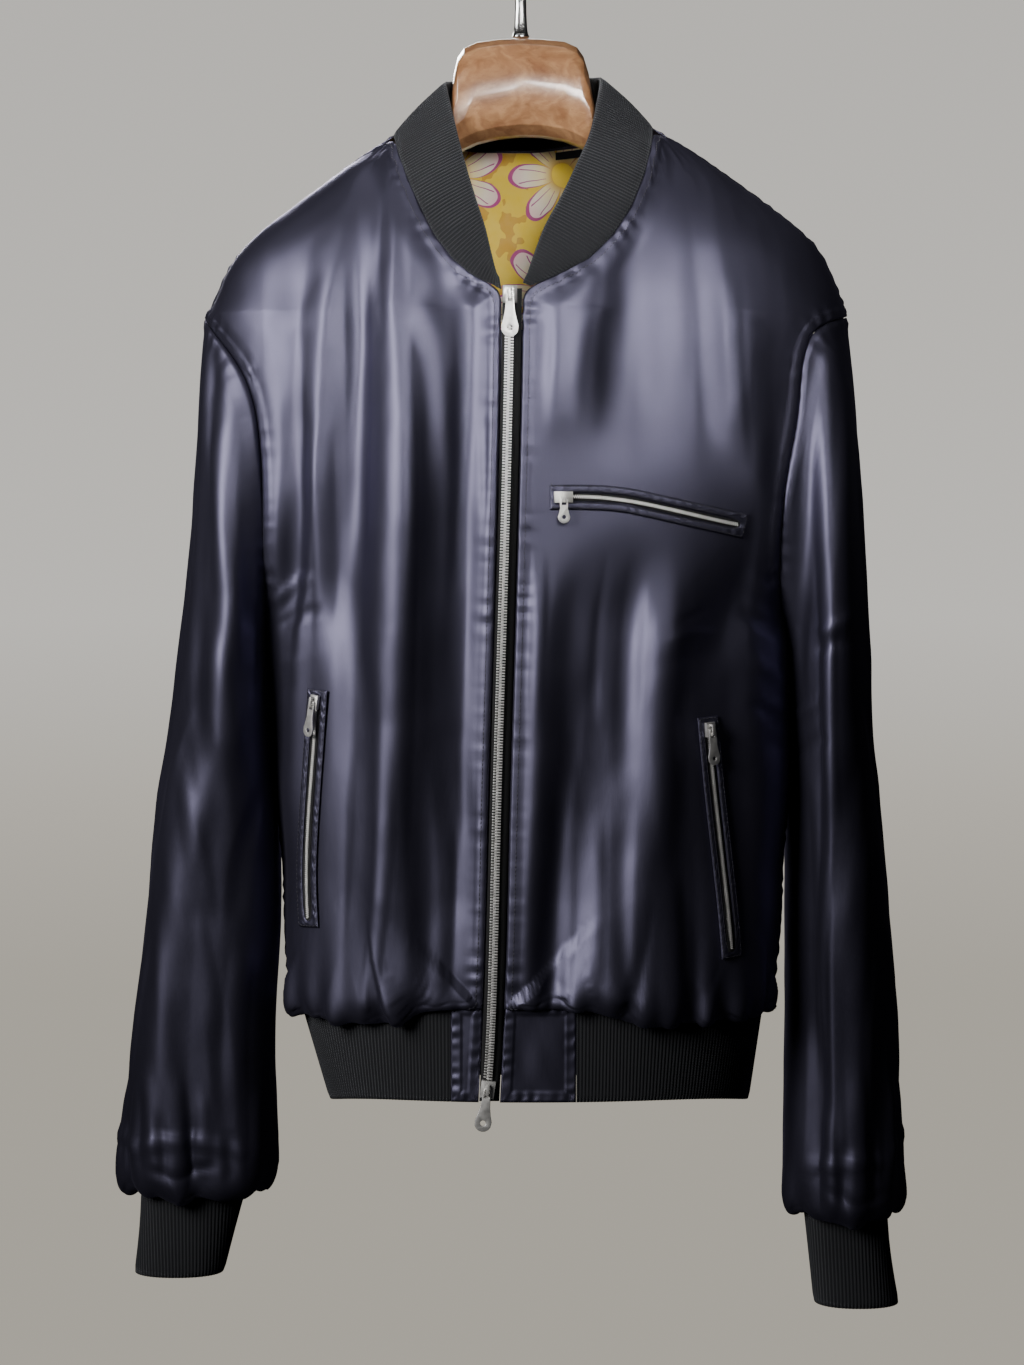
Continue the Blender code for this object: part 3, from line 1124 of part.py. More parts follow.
def main():
    clear_scene()
    satin = material("Dark satin", (0.055, 0.050, 0.075), 0.35)
    rib = material("Black rib knit", (0.022, 0.023, 0.026), 0.85)
    tape = material("Black zip tape", (0.012, 0.012, 0.013), 0.80)
    metal = material("Silver metal", (0.72, 0.71, 0.69), 0.30, 1.0)
    print_cloth = material("Flower print lining", (0.75, 0.62, 0.42), 0.60)
    wood = material("Varnished wood", (0.42, 0.24, 0.13), 0.25)
    steel = material("Bright steel", (0.80, 0.80, 0.80), 0.20, 1.0)

    skin, grids = make_body(satin)
    make_collar(skin, grids, rib)
    make_hem(rib, satin)
    make_cuff("cuff_left", CUFF_LEFT, rib)
    make_cuff("cuff_right", CUFF_RIGHT, rib)
    make_lining(skin, grids, print_cloth, tape)
    track = zip_track(skin, grids)
    make_zip(track, tape, metal)
    for name, z, lean in (("_top", TOP_SLIDER_Z, 0.0), ("_bottom", BOTTOM_SLIDER_Z, BOTTOM_PULL_LEAN)):
        at = (zip_x(z), track_y(track, z, MAIN_SLIDER["height"] * MAIN_SLIDER_REACH) - PIECE_GAP, z)
        slider_and_pull("zip_", name, at, lean, 0.0, MAIN_SLIDER, MAIN_PULL, metal)
    make_pockets(skin, satin, metal)
    make_hanger(wood)
    make_hook(steel)


main()
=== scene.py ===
"""Finish of a satin bomber jacket on a wooden hanger: cloth folds, rib knit, zips, stitching and materials.

Metres. +X is the right of a front view, -Y the front and +Z up. Left and right are those of a front view."""

import sys
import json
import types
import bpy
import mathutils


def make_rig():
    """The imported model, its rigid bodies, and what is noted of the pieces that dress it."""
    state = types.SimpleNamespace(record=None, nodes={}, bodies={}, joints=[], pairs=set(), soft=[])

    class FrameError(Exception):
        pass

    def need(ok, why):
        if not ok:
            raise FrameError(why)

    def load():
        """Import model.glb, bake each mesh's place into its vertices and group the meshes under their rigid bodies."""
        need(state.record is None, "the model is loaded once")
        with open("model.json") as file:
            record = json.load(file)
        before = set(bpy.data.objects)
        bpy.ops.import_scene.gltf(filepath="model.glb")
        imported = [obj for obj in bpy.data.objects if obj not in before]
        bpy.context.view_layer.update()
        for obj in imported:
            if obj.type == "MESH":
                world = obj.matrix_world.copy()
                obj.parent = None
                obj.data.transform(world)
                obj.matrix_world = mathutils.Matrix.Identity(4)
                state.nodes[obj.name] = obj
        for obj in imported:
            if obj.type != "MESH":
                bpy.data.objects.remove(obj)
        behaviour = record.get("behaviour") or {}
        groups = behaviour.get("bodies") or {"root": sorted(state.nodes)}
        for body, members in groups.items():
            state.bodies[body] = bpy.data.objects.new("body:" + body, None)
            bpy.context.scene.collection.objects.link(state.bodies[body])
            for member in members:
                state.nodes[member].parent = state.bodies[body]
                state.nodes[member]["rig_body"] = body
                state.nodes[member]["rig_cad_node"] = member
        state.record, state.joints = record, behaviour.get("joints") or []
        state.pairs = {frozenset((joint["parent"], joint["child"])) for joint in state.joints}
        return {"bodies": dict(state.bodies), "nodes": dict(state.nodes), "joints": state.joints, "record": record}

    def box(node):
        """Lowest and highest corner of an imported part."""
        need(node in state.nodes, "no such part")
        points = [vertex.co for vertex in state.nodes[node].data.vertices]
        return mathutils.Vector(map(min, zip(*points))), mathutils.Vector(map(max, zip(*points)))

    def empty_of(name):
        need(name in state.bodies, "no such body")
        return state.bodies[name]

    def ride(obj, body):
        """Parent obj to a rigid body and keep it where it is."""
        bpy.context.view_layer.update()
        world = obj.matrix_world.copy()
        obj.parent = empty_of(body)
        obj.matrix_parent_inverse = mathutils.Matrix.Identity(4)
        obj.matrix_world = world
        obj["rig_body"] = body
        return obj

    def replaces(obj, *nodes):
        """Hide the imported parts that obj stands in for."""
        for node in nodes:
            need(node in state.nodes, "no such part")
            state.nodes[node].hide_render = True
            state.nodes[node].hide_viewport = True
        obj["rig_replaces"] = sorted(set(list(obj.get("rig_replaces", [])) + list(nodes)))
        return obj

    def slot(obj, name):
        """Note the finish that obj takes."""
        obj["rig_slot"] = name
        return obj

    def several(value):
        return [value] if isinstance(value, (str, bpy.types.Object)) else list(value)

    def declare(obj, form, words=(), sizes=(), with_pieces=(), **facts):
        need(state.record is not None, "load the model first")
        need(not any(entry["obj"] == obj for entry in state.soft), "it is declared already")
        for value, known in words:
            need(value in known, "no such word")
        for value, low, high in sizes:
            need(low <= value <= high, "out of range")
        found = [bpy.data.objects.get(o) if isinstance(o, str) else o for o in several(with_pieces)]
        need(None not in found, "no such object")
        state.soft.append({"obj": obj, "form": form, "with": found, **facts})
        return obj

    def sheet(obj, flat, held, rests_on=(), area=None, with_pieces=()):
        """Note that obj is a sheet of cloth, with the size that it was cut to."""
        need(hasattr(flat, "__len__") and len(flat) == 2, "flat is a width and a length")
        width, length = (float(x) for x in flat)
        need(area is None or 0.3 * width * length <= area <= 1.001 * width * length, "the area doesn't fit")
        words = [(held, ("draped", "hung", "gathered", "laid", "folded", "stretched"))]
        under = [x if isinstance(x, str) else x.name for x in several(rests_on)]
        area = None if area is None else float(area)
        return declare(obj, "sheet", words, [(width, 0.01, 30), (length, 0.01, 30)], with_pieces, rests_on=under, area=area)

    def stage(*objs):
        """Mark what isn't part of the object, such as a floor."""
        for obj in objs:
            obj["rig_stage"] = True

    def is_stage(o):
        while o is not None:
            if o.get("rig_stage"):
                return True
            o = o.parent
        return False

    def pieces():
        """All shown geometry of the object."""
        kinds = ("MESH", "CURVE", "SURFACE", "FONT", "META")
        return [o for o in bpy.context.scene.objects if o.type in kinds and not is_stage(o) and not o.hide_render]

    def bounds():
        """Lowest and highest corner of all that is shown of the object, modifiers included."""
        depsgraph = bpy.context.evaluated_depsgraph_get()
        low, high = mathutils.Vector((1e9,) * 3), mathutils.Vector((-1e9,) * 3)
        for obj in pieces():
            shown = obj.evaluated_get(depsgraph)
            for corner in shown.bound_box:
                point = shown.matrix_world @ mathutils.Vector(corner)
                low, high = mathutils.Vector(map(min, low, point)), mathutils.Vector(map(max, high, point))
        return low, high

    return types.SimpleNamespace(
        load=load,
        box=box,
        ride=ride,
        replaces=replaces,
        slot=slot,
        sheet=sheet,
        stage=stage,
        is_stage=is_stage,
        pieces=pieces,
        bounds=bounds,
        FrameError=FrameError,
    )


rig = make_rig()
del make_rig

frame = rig.load()
CAD_BOX = [list(corner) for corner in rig.bounds()]

import json
import math

import bmesh
import bpy
import numpy as np
from bpy.props import FloatProperty, FloatVectorProperty, IntProperty, PointerProperty
from mathutils import Vector
from mathutils.bvhtree import BVHTree
from mathutils.kdtree import KDTree

bl_info = {
    "name": "Satin bomber jacket",
    "version": (1, 0, 0),
    "blender": (4, 5, 0),
    "location": "View3D > Sidebar > Jacket",
    "description": "Dresses the solids of a bomber jacket in satin, rib knit, zips and stitching",
    "category": "Object",
}

NODES = frame["nodes"]
SEED = 11
MIDDLE = Vector((0.004, 0.0, -0.5))  # middle of the body, inside the torso


def table(columns, rows):
    """A short table, as one array for each named column."""
    return dict(zip(columns.split(), np.array(rows, float).T))


# Folds of each panel, as strokes laid on the cloth in the front or back view, in millimetres:
# both ends, sideways bend of the middle, half width, height (+ ridge, - trough), lean and sharpness.
STROKE = "x0 z0 x1 z1 bend width height lean sharp"
FOLDS = {
    "front_left": table(STROKE, (
        # long ridges and troughs from shoulder and neck
        (-82, -235, -88, -700, 4, 20, 3.0, 0.4, 0.6), (-63, -200, -70, -520, 8, 14, -2.0, 0.0, 0.3),
        (-126, -215, -146, -420, -3, 13, 2.6, 0.3, 0.7), (-112, -190, -112, -470, 3, 10, -2.6, 0.0, 0.5),
        (-136, -330, -138, -520, 2, 9, 2.4, -0.2, 0.7), (-155, -300, -156, -480, 2, 12, -3.0, 0.0, 0.3),
        (-100, -170, -96, -300, -3, 8, 1.4, 0.2, 0.6), (-88, -165, -76, -290, 3, 7, -1.4, 0.0, 0.5),
        (-32, -270, -33, -430, 2, 9, 0.7, 0.2, 0.5), (-44, -300, -44, -470, 2, 8, -0.8, 0.0, 0.4),
        (-24, -330, -22, -420, 0, 5, -1.2, 0.0, 0.6),
        (-100, -480, -112, -730, 5, 11, -2.2, 0.0, 0.5), (-120, -520, -124, -735, -3, 9, 1.8, 0.2, 0.6),
        (-88, -560, -100, -740, 4, 8, 1.6, 0.2, 0.7), (-72, -560, -66, -735, 3, 11, -1.8, 0.0, 0.4),
        (-52, -600, -56, -742, 2, 9, 1.6, 0.1, 0.5), (-38, -560, -34, -738, 2, 8, -1.4, 0.0, 0.5),
        # creases under the arm
        (-168, -468, -138, -446, 4, 5, 1.6, 0.3, 0.9), (-168, -486, -132, -470, 3, 6, -1.8, 0.0, 0.8),
        (-168, -506, -128, -496, -3, 6, 1.5, 0.2, 0.8), (-166, -530, -136, -516, 3, 6, -1.4, 0.0, 0.8))),
    "front_right": table(STROKE, (
        (56, -185, 30, -380, -6, 16, 1.4, 0.3, 0.5), (78, -190, 60, -380, -4, 14, -1.0, 0.0, 0.3),
        (100, -200, 96, -370, 3, 18, 0.8, 0.2, 0.4), (126, -215, 128, -400, 2, 12, -0.6, 0.0, 0.4),
        (142, -225, 154, -420, -3, 10, 1.0, 0.3, 0.6), (18, -260, 16, -370, 0, 8, -1.3, 0.0, 0.4),
        (14, -400, 10, -560, 0, 7, 2.0, 0.2, 0.6), (44, -410, 30, -600, -5, 15, -3.2, 0.0, 0.3),
        (68, -412, 58, -560, -4, 9, 2.0, -0.2, 0.6), (82, -415, 70, -600, -4, 10, -2.2, 0.0, 0.4),
        (100, -440, 96, -640, 3, 20, 2.6, 0.3, 0.4), (26, -560, 18, -735, 2, 13, -3.0, 0.0, 0.3),
        (50, -600, 46, -742, 2, 10, 2.4, 0.2, 0.6), (70, -590, 68, -744, -2, 9, -2.2, 0.0, 0.4),
        (100, -640, 96, -748, 3, 13, 2.6, 0.2, 0.5), (120, -600, 118, -745, 2, 8, -2.0, 0.0, 0.5),
        # crease group beside the side pocket
        (92, -492, 138, -486, 4, 5, 1.5, 0.4, 1.0), (88, -508, 146, -500, 3, 4, -1.3, 0.0, 0.9),
        (98, -524, 150, -512, 3, 5, 1.4, 0.3, 1.0), (100, -478, 128, -468, -2, 4, -1.0, 0.0, 0.8),
        (150, -440, 176, -462, -3, 7, 2.0, 0.2, 0.8), (148, -468, 178, -486, -3, 7, -2.2, 0.0, 0.7),
        (154, -500, 180, -520, -2, 7, 1.8, 0.2, 0.8), (152, -530, 180, -548, -2, 6, -1.6, 0.0, 0.8),
        (150, -370, 172, -400, -3, 7, 1.6, 0.0, 0.7))),
    "back": table(STROKE, (
        (-120, -205, -96, -560, 8, 22, 3.0, 0.2, 0.4), (-70, -200, -50, -620, 6, 22, -2.6, 0.0, 0.3),
        (-20, -190, -16, -520, 4, 20, 2.4, 0.2, 0.4), (34, -190, 24, -640, -6, 20, -2.4, 0.0, 0.3),
        (80, -195, 60, -560, -6, 22, 3.0, 0.2, 0.4), (120, -205, 110, -620, -6, 18, -2.8, 0.0, 0.3),
        (-150, -270, -150, -560, 4, 14, 2.6, 0.2, 0.6), (-132, -300, -128, -620, 3, 12, -2.4, 0.0, 0.4),
        (158, -270, 152, -560, -3, 14, 2.6, -0.2, 0.6), (138, -300, 134, -640, 3, 12, -2.0, 0.0, 0.4),
        (-96, -560, -108, -742, 4, 13, 2.6, 0.2, 0.5), (-60, -580, -62, -742, 2, 13, -2.6, 0.0, 0.4),
        (-30, -560, -22, -744, 2, 12, 2.4, 0.2, 0.5), (20, -600, 26, -742, 2, 12, -2.4, 0.0, 0.4),
        (70, -560, 76, -744, 2, 13, 2.6, 0.2, 0.5), (116, -600, 120, -742, 2, 11, -2.2, 0.0, 0.4),
        (-164, -486, -112, -430, 6, 11, 1.4, 0.2, 0.5), (-166, -520, -106, -470, 5, 11, -1.4, 0.0, 0.4),
        (172, -482, 120, -424, -6, 11, 1.4, 0.2, 0.5), (174, -516, 114, -464, -5, 11, -1.4, 0.0, 0.4))),
    "sleeve_left": table(STROKE, (
        (-200, -262, -204, -470, -2, 9, 2.2, 0.2, 0.8), (-190, -300, -192, -560, 2, 11, -2.4, 0.0, 0.4),
        (-184, -330, -180, -560, 2, 8, 2.0, 0.2, 0.6), (-214, -330, -222, -600, -3, 12, -1.6, 0.0, 0.3),
        (-212, -480, -196, -590, 5, 12, 2.6, 0.2, 0.6), (-226, -520, -206, -650, 5, 12, -2.4, 0.0, 0.4),
        (-240, -560, -214, -700, 5, 11, 2.4, 0.2, 0.6), (-180, -590, -196, -700, -4, 10, -2.2, 0.0, 0.4),
        (-230, -660, -212, -790, 4, 12, 2.4, 0.2, 0.6), (-250, -640, -238, -800, 3, 12, -2.0, 0.0, 0.4),
        (-190, -690, -198, -820, -3, 10, 2.2, 0.0, 0.6), (-212, -740, -206, -860, 3, 9, -2.2, 0.0, 0.5),
        (-262, -780, -254, -868, 2, 9, 2.2, 0.0, 0.5), (-240, -790, -236, -866, 2, 8, 2.4, 0.2, 0.6),
        (-222, -800, -222, -868, 2, 7, 2.2, 0.0, 0.6), (-186, -800, -190, -866, 2, 8, 2.2, 0.0, 0.6),
        (-250, -816, -246, -868, 0, 6, -2.4, 0.0, 0.6), (-230, -820, -230, -870, 0, 6, -2.4, 0.0, 0.6),
        (-202, -830, -202, -870, 0, 7, -2.6, 0.0, 0.6), (-268, -846, -216, -838, 6, 6, 2.0, 0.3, 0.9),
        (-262, -858, -206, -852, -4, 5, -1.8, 0.0, 0.8), (-236, -840, -186, -848, 4, 6, 1.8, 0.2, 0.9))),
    "sleeve_right": table(STROKE, (
        (202, -262, 200, -500, 2, 9, 2.4, 0.2, 0.8), (212, -300, 214, -560, -2, 11, -2.0, 0.0, 0.3),
        (190, -330, 192, -560, -2, 9, -2.4, 0.0, 0.5), (208, -470, 214, -620, -2, 7, 2.4, 0.2, 0.9),
        (196, -485, 226, -470, -3, 5, 1.8, 0.2, 0.9), (194, -500, 230, -490, 3, 5, -1.6, 0.0, 0.8),
        (186, -548, 208, -530, 3, 5, 1.6, 0.2, 0.9), (188, -572, 212, -556, 3, 6, -1.6, 0.0, 0.8),
        (228, -560, 214, -700, -3, 12, -2.4, 0.0, 0.3), (240, -600, 232, -760, -3, 12, 2.2, 0.2, 0.5),
        (198, -580, 206, -760, 3, 10, 2.2, 0.0, 0.5), (212, -620, 210, -800, -3, 6, 2.6, 0.3, 0.9),
        (222, -680, 222, -840, 2, 10, -2.2, 0.0, 0.4), (250, -720, 246, -870, 2, 11, -2.2, 0.0, 0.4),
        (202, -740, 202, -870, 2, 9, -2.2, 0.0, 0.5), (232, -780, 234, -884, 2, 8, 2.4, 0.2, 0.6),
        (258, -800, 254, -884, 2, 8, 2.2, 0.0, 0.6), (212, -810, 214, -884, 0, 7, 2.2, 0.0, 0.6),
        (244, -830, 244, -886, 0, 6, -2.4, 0.0, 0.6), (224, -836, 224, -886, 0, 6, -2.4, 0.0, 0.6),
        (266, -862, 216, -852, -6, 6, 2.0, 0.3, 0.9), (262, -874, 208, -868, 4, 5, -1.8, 0.0, 0.8),
        (238, -856, 194, -862, -4, 6, 1.8, 0.2, 0.9))),
}
# The broad drape under those folds: at each level, where its ridges and troughs run and how high they
# stand, in the front view and in millimetres.
DRAPES = {
    "front_left": table("z x0 h0 x1 h1 x2 h2 x3 h3 x4 h4", (
        (-190, -150, 0, -118, 1, -98, -1, -80, 2, -22, -1),
        (-266, -150, -3, -128, 1, -104, -3, -84, 5, -28, -5),
        (-345, -148, -5, -134, 1, -114, -4, -76, 8, -30, -6),
        (-405, -150, -5, -140, 1, -118, -4, -76, 9, -34, -6),
        (-445, -153, -5, -142, 0, -122, -4, -78, 9, -34, -6),
        (-485, -158, -4, -150, 0, -124, -4, -80, 9, -34, -6),
        (-545, -162, -3, -150, 0, -128, -4, -84, 7, -34, -5),
        (-605, -165, -2, -152, 0, -131, -3, -90, 7, -40, -5),
        (-665, -165, -1, -150, 1, -128, -2, -92, 8, -46, -5),
        (-735, -165, 0, -150, 2, -128, 0, -98, 5, -50, -2))),
    "front_right": table("z x0 h0 x1 h1 x2 h2 x3 h3 x4 h4 x5 h5", (
        (-190, -3, 0, 30, 2, 78, -3, 110, -1, 132, 0, 150, 0),
        (-266, -3, 0, 26, 4, 80, -5, 118, -3, 138, 0, 156, 0),
        (-345, -3, 0, 20, 4, 82, -5, 120, -3, 142, 0, 164, 0),
        (-405, -5, 0, 10, 3, 84, -5, 114, 0, 154, -2, 163, 1),
        (-445, -6, 0, 8, 3, 72, -5, 108, 3, 148, -4, 160, 1),
        (-545, -10, 0, 6, 3, 42, -5, 98, 3, 120, -3, 152, 2),
        (-605, -10, 0, 5, 3, 32, -6, 92, 4, 121, -3, 152, 2),
        (-665, -12, 0, 2, 2, 24, -6, 80, 5, 122, -3, 152, 2),
        (-735, -14, 0, 2, 1, 20, -3, 68, 5, 120, 0, 152, 2))),
    "sleeve_left": table("z x0 h0 x1 h1 x2 h2 x3 h3", (
        (-270, -215, 0, -206, -2, -182, 3, -160, 0),
        (-345, -222, 0, -212, -3, -188, 4, -168, 0),
        (-460, -228, 0, -214, -3, -192, 4, -170, 0),
        (-560, -244, 0, -232, -2, -206, 4, -176, 0),
        (-680, -256, 0, -246, 2, -222, -4, -182, 2),
        (-800, -268, 0, -252, 2, -230, -3, -190, 2))),
    "sleeve_right": table("z x0 h0 x1 h1 x2 h2 x3 h3", (
        (-270, 164, 0, 190, -3, 208, 3, 228, 0),
        (-400, 172, 0, 196, -4, 210, 4, 232, 0),
        (-520, 176, 0, 200, -3, 212, 4, 240, 0),
        (-640, 184, 0, 204, -3, 214, 4, 250, 0),
        (-800, 190, 0, 208, -2, 218, 4, 262, 0))),
}
# Folds of the sleeves' other sides, seen from the side: ends as y and z, in millimetres.
SIDE_FOLDS = table(STROKE, (
    (-30, -330, -20, -560, 5, 13, 2.4, 0.2, 0.5), (10, -320, 14, -600, 4, 14, -2.4, 0.0, 0.3),
    (44, -360, 40, -620, -5, 13, 2.4, 0.2, 0.5), (-46, -520, -10, -640, 6, 12, -2.4, 0.0, 0.5),
    (-20, -560, 26, -700, 6, 12, 2.6, 0.2, 0.5), (20, -640, 46, -780, 5, 12, -2.2, 0.0, 0.4),
    (-26, -680, -4, -820, 5, 11, 2.4, 0.2, 0.5), (4, -740, 22, -860, 3, 9, -2.2, 0.0, 0.5),
    (-22, -790, -18, -866, 2, 8, 2.2, 0.0, 0.6), (34, -770, 30, -866, 2, 9, 2.2, 0.0, 0.6),
    (6, -800, 6, -868, 0, 7, 2.2, 0.0, 0.6), (-8, -820, -8, -868, 0, 6, -2.2, 0.0, 0.6),
    (20, -826, 20, -868, 0, 6, -2.2, 0.0, 0.6), (-30, -850, 30, -842, 5, 6, 1.8, 0.2, 0.8)))


# ---------------------------------------------------------------- settings
def color_of(name, description, default):
    return FloatVectorProperty(name=name, description=description, subtype="COLOR", size=3, min=0, max=1,
                               default=default)


def share_of(name, description, default, most=1):
    return FloatProperty(name=name, description=description, min=0, max=most, default=default,
                         subtype="FACTOR")


def length_of(name, description, default, least, most):
    return FloatProperty(name=name, description=description, min=least, max=most, default=default,
                         unit="LENGTH")


def power_of(name, description, default):
    return FloatProperty(name=name, description=f"Power of {description}, in watts", min=0, default=default,
                         unit="POWER")


class JacketSatin(bpy.types.PropertyGroup):
    color: color_of("Color", "Colour of the satin", (0.096, 0.092, 0.140))
    sheen_color: color_of("Sheen color", "Colour of the satin's soft sheen", (0.62, 0.60, 0.78))
    roughness: share_of("Roughness", "Roughness of the gloss", 0.47)
    shine: share_of("Shine", "Share of the light that the float threads send back", 0.94)
    wall: length_of("Wall", "Thickness of the satin and its lining", 0.0012, 0.0004, 0.003)
    fold_share: share_of("Folds", "Share of the folds' full height", 0.72, 2)
    drape_share: share_of("Drape", "Share of the broad drape's full height", 1.3, 2)
    detail: IntProperty(name="Detail", description="Subdivisions of each panel", min=1, max=3, default=3)


class JacketRib(bpy.types.PropertyGroup):
    color: color_of("Color", "Colour of the rib knit", (0.0145, 0.0152, 0.0180))
    pitch: length_of("Pitch", "Width of one rib", 0.0024, 0.001, 0.006)
    height: length_of("Height", "Height of a rib", 0.0007, 0, 0.002)
    wall: length_of("Wall", "Thickness of the doubled knit", 0.0026, 0.001, 0.004)


class JacketZip(bpy.types.PropertyGroup):
    color: color_of("Color", "Colour of the metal", (0.86, 0.85, 0.83))
    main_pitch: length_of("Main pitch", "From tooth to tooth on the main zip", 0.0019, 0.001, 0.004)
    pocket_pitch: length_of("Pocket pitch", "From tooth to tooth on the pockets' zips", 0.0014, 0.001, 0.004)


class JacketHanger(bpy.types.PropertyGroup):
    light: color_of("Light", "Lightest colour of the wood", (0.47, 0.255, 0.125))
    dark: color_of("Dark", "Darkest colour of the wood", (0.17, 0.068, 0.030))
    steel: color_of("Steel", "Colour of the hook", (0.78, 0.78, 0.77))


class JacketStitching(bpy.types.PropertyGroup):
    color: color_of("Color", "Colour of the thread", (0.030, 0.028, 0.042))
    pitch: length_of("Pitch", "From stitch to stitch", 0.0030, 0.001, 0.006)


class JacketStage(bpy.types.PropertyGroup):
    # the floor and the wall glow in this colour as painted light; the lamps don't light them
    color: color_of("Color", "Colour of the floor and the wall", (0.68, 0.655, 0.61))
    key: power_of("Key light", "the key light", 5.8)
    neck: power_of("Neck light", "the light from above the camera", 0.50)
    back: power_of("Back light", "the light behind the object", 9.0)
    top: power_of("Top light", "the light above", 3.0)
    ambient: FloatProperty(name="Ambient", description="Strength of the light from all round", min=0,
                           default=0.010)


def settings(name):
    return getattr(bpy.context.scene, name)


# ---------------------------------------------------------------- small maths
def smooth_step(t):
    t = np.clip(t, 0, 1)
    return t * t * (3 - 2 * t)


def fade(value, start, end):
    """0 at start, 1 at end, smooth between. Works on arrays."""
    return smooth_step((np.asarray(value, float) - start) / (end - start))


def unit(vectors):
    return vectors / np.maximum(np.linalg.norm(vectors, axis=-1, keepdims=True), 1e-12)


def even(line, count):
    """Even points along a line, and the line's length."""
    way = np.concatenate(([0], np.cumsum(np.linalg.norm(np.diff(line, axis=0), axis=1))))
    at = np.linspace(0, way[-1], count)
    return np.stack([np.interp(at, way, line[:, n]) for n in range(3)], axis=1), way[-1]


def length_along(line):
    return even(line, 2)[1]


def smoothed(line, rounds):
    line = np.array(line, float)
    for _ in range(rounds):
        line[1:-1] = line[1:-1] * 0.5 + (line[:-2] + line[2:]) * 0.25
    return line


def waves(points, lengths, amplitude, seed):
    """Soft uneven heights with no direction of their own: a fixed sum of tilted waves."""
    random = np.random.default_rng(seed)
    total = np.zeros(len(points))
    for length in lengths:
        for _ in range(5):
            way = unit(random.normal(size=3))
            total += length * np.sin(points @ way * 2 * math.pi / length + random.uniform(0, 2 * math.pi))
    return amplitude * total / (sum(lengths) * 1.6)


# ---------------------------------------------------------------- reading the solids' walls
def welded(node):
    """A copy of a node's mesh with its loose triangles joined."""
    work = bmesh.new()
    work.from_mesh(NODES[node].data)
    bmesh.ops.remove_doubles(work, verts=work.verts[:], dist=2e-6)
    work.normal_update()
    return work


def islands(work):
    """The groups of faces that share edges."""
    left, groups = set(work.faces), []
    while left:
        queue = [left.pop()]
        group = list(queue)
        while queue:
            for edge in queue.pop().edges:
                for face in edge.link_faces:
                    if face in left:
                        left.remove(face)
                        queue.append(face)
                        group.append(face)
        groups.append(group)
    return groups


def wall_side(node, outside=True, centre=MIDDLE, wall=None):
    """The outer or the inner face of a cloth wall, as quads with no rim.

    The rim joins each outer point to its inner one: its edges are as long as the wall is thick. Where
    no wall is given, the faces part at sharp edges."""
    work = welded(node)
    if wall:
        rim = {face for edge in work.edges if abs(edge.calc_length() - wall) < 5e-6
               for face in edge.link_faces}
        bmesh.ops.delete(work, geom=list(rim), context="FACES")
    else:
        sharp = [edge for edge in work.edges if edge.calc_face_angle(0) > math.radians(50)]
        bmesh.ops.split_edges(work, edges=sharp)
    sides = sorted(islands(work), key=lambda side: -sum(f.calc_area() for f in side))[:2]
    reach = [sum(f.calc_area() * f.normal.dot(f.calc_center_median() - centre) for f in side)
             for side in sides]
    keep = set(sides[int(np.argmax(reach)) if outside else int(np.argmin(reach))])
    bmesh.ops.delete(work, geom=[f for f in work.faces if f not in keep], context="FACES")
    bmesh.ops.join_triangles(work, faces=work.faces[:], angle_face_threshold=math.radians(60),
                             angle_shape_threshold=math.radians(150))
    return work


def border_loops(work):
    """The open borders of a surface, each as ordered vertices."""
    after = {}
    for edge in work.edges:
        if edge.is_boundary:
            loop = edge.link_loops[0]
            after[loop.vert] = loop.link_loop_next.vert
    loops = []
    while after:
        start = next(iter(after))
        line, at = [], start
        while at in after:
            line.append(at)
            at = after.pop(at)
        loops.append(line)
    return sorted(loops, key=len, reverse=True)


def mesh_of(name, work, made_of=None):
    """The work as a smooth mesh with its finish. The work is freed."""
    mesh = bpy.data.meshes.new(name)
    work.to_mesh(mesh)
    work.free()
    mesh.shade_smooth()
    if made_of:
        mesh.materials.append(made_of)
    return mesh


def linked(name, data):
    made = bpy.data.objects.new(name, data)
    bpy.context.scene.collection.objects.link(made)
    return made


def object_of(name, points, faces, made_of):
    mesh = bpy.data.meshes.new(name)
    mesh.from_pydata([tuple(p) for p in points], [], faces)
    mesh.shade_smooth()
    mesh.materials.append(made_of)
    return linked(name, mesh)


def plain(piece):
    """Turns the piece's evaluated form into its own plain mesh, with no modifier left."""
    bpy.context.view_layer.update()
    graph = bpy.context.evaluated_depsgraph_get()
    mesh = bpy.data.meshes.new_from_object(piece.evaluated_get(graph), depsgraph=graph)
    piece.modifiers.clear()
    old, piece.data = piece.data, mesh
    mesh.name = piece.name
    if old.users == 0:
        bpy.data.batch_remove([old])
    return piece


def subdivided(piece, levels):
    step = piece.modifiers.new("Subdivision", "SUBSURF")
    step.levels = step.render_levels = levels
    step.boundary_smooth = "PRESERVE_CORNERS"
    return plain(piece)


def walled(piece, thickness):
    """Gives an open sheet its wall, inwards, with closed rims."""
    wall = piece.modifiers.new("Wall", "SOLIDIFY")
    wall.thickness, wall.offset = thickness, -1.0
    wall.use_even_offset = False
    return plain(piece)


def placed(piece, slot, *nodes, body="jacket"):
    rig.ride(piece, body)
    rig.slot(piece, slot)
    if nodes:
        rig.replaces(piece, *nodes)
    return piece


def coordinates(mesh):
    flat = np.empty(len(mesh.vertices) * 3, np.float32)
    mesh.vertices.foreach_get("co", flat)
    return flat.reshape(-1, 3).astype(float)


def normals(mesh):
    flat = np.empty(len(mesh.vertices) * 3, np.float32)
    mesh.vertex_normals.foreach_get("vector", flat)
    return flat.reshape(-1, 3).astype(float)


def moved(mesh, points):
    mesh.vertices.foreach_set("co", points.astype(np.float32).ravel())
    mesh.update()


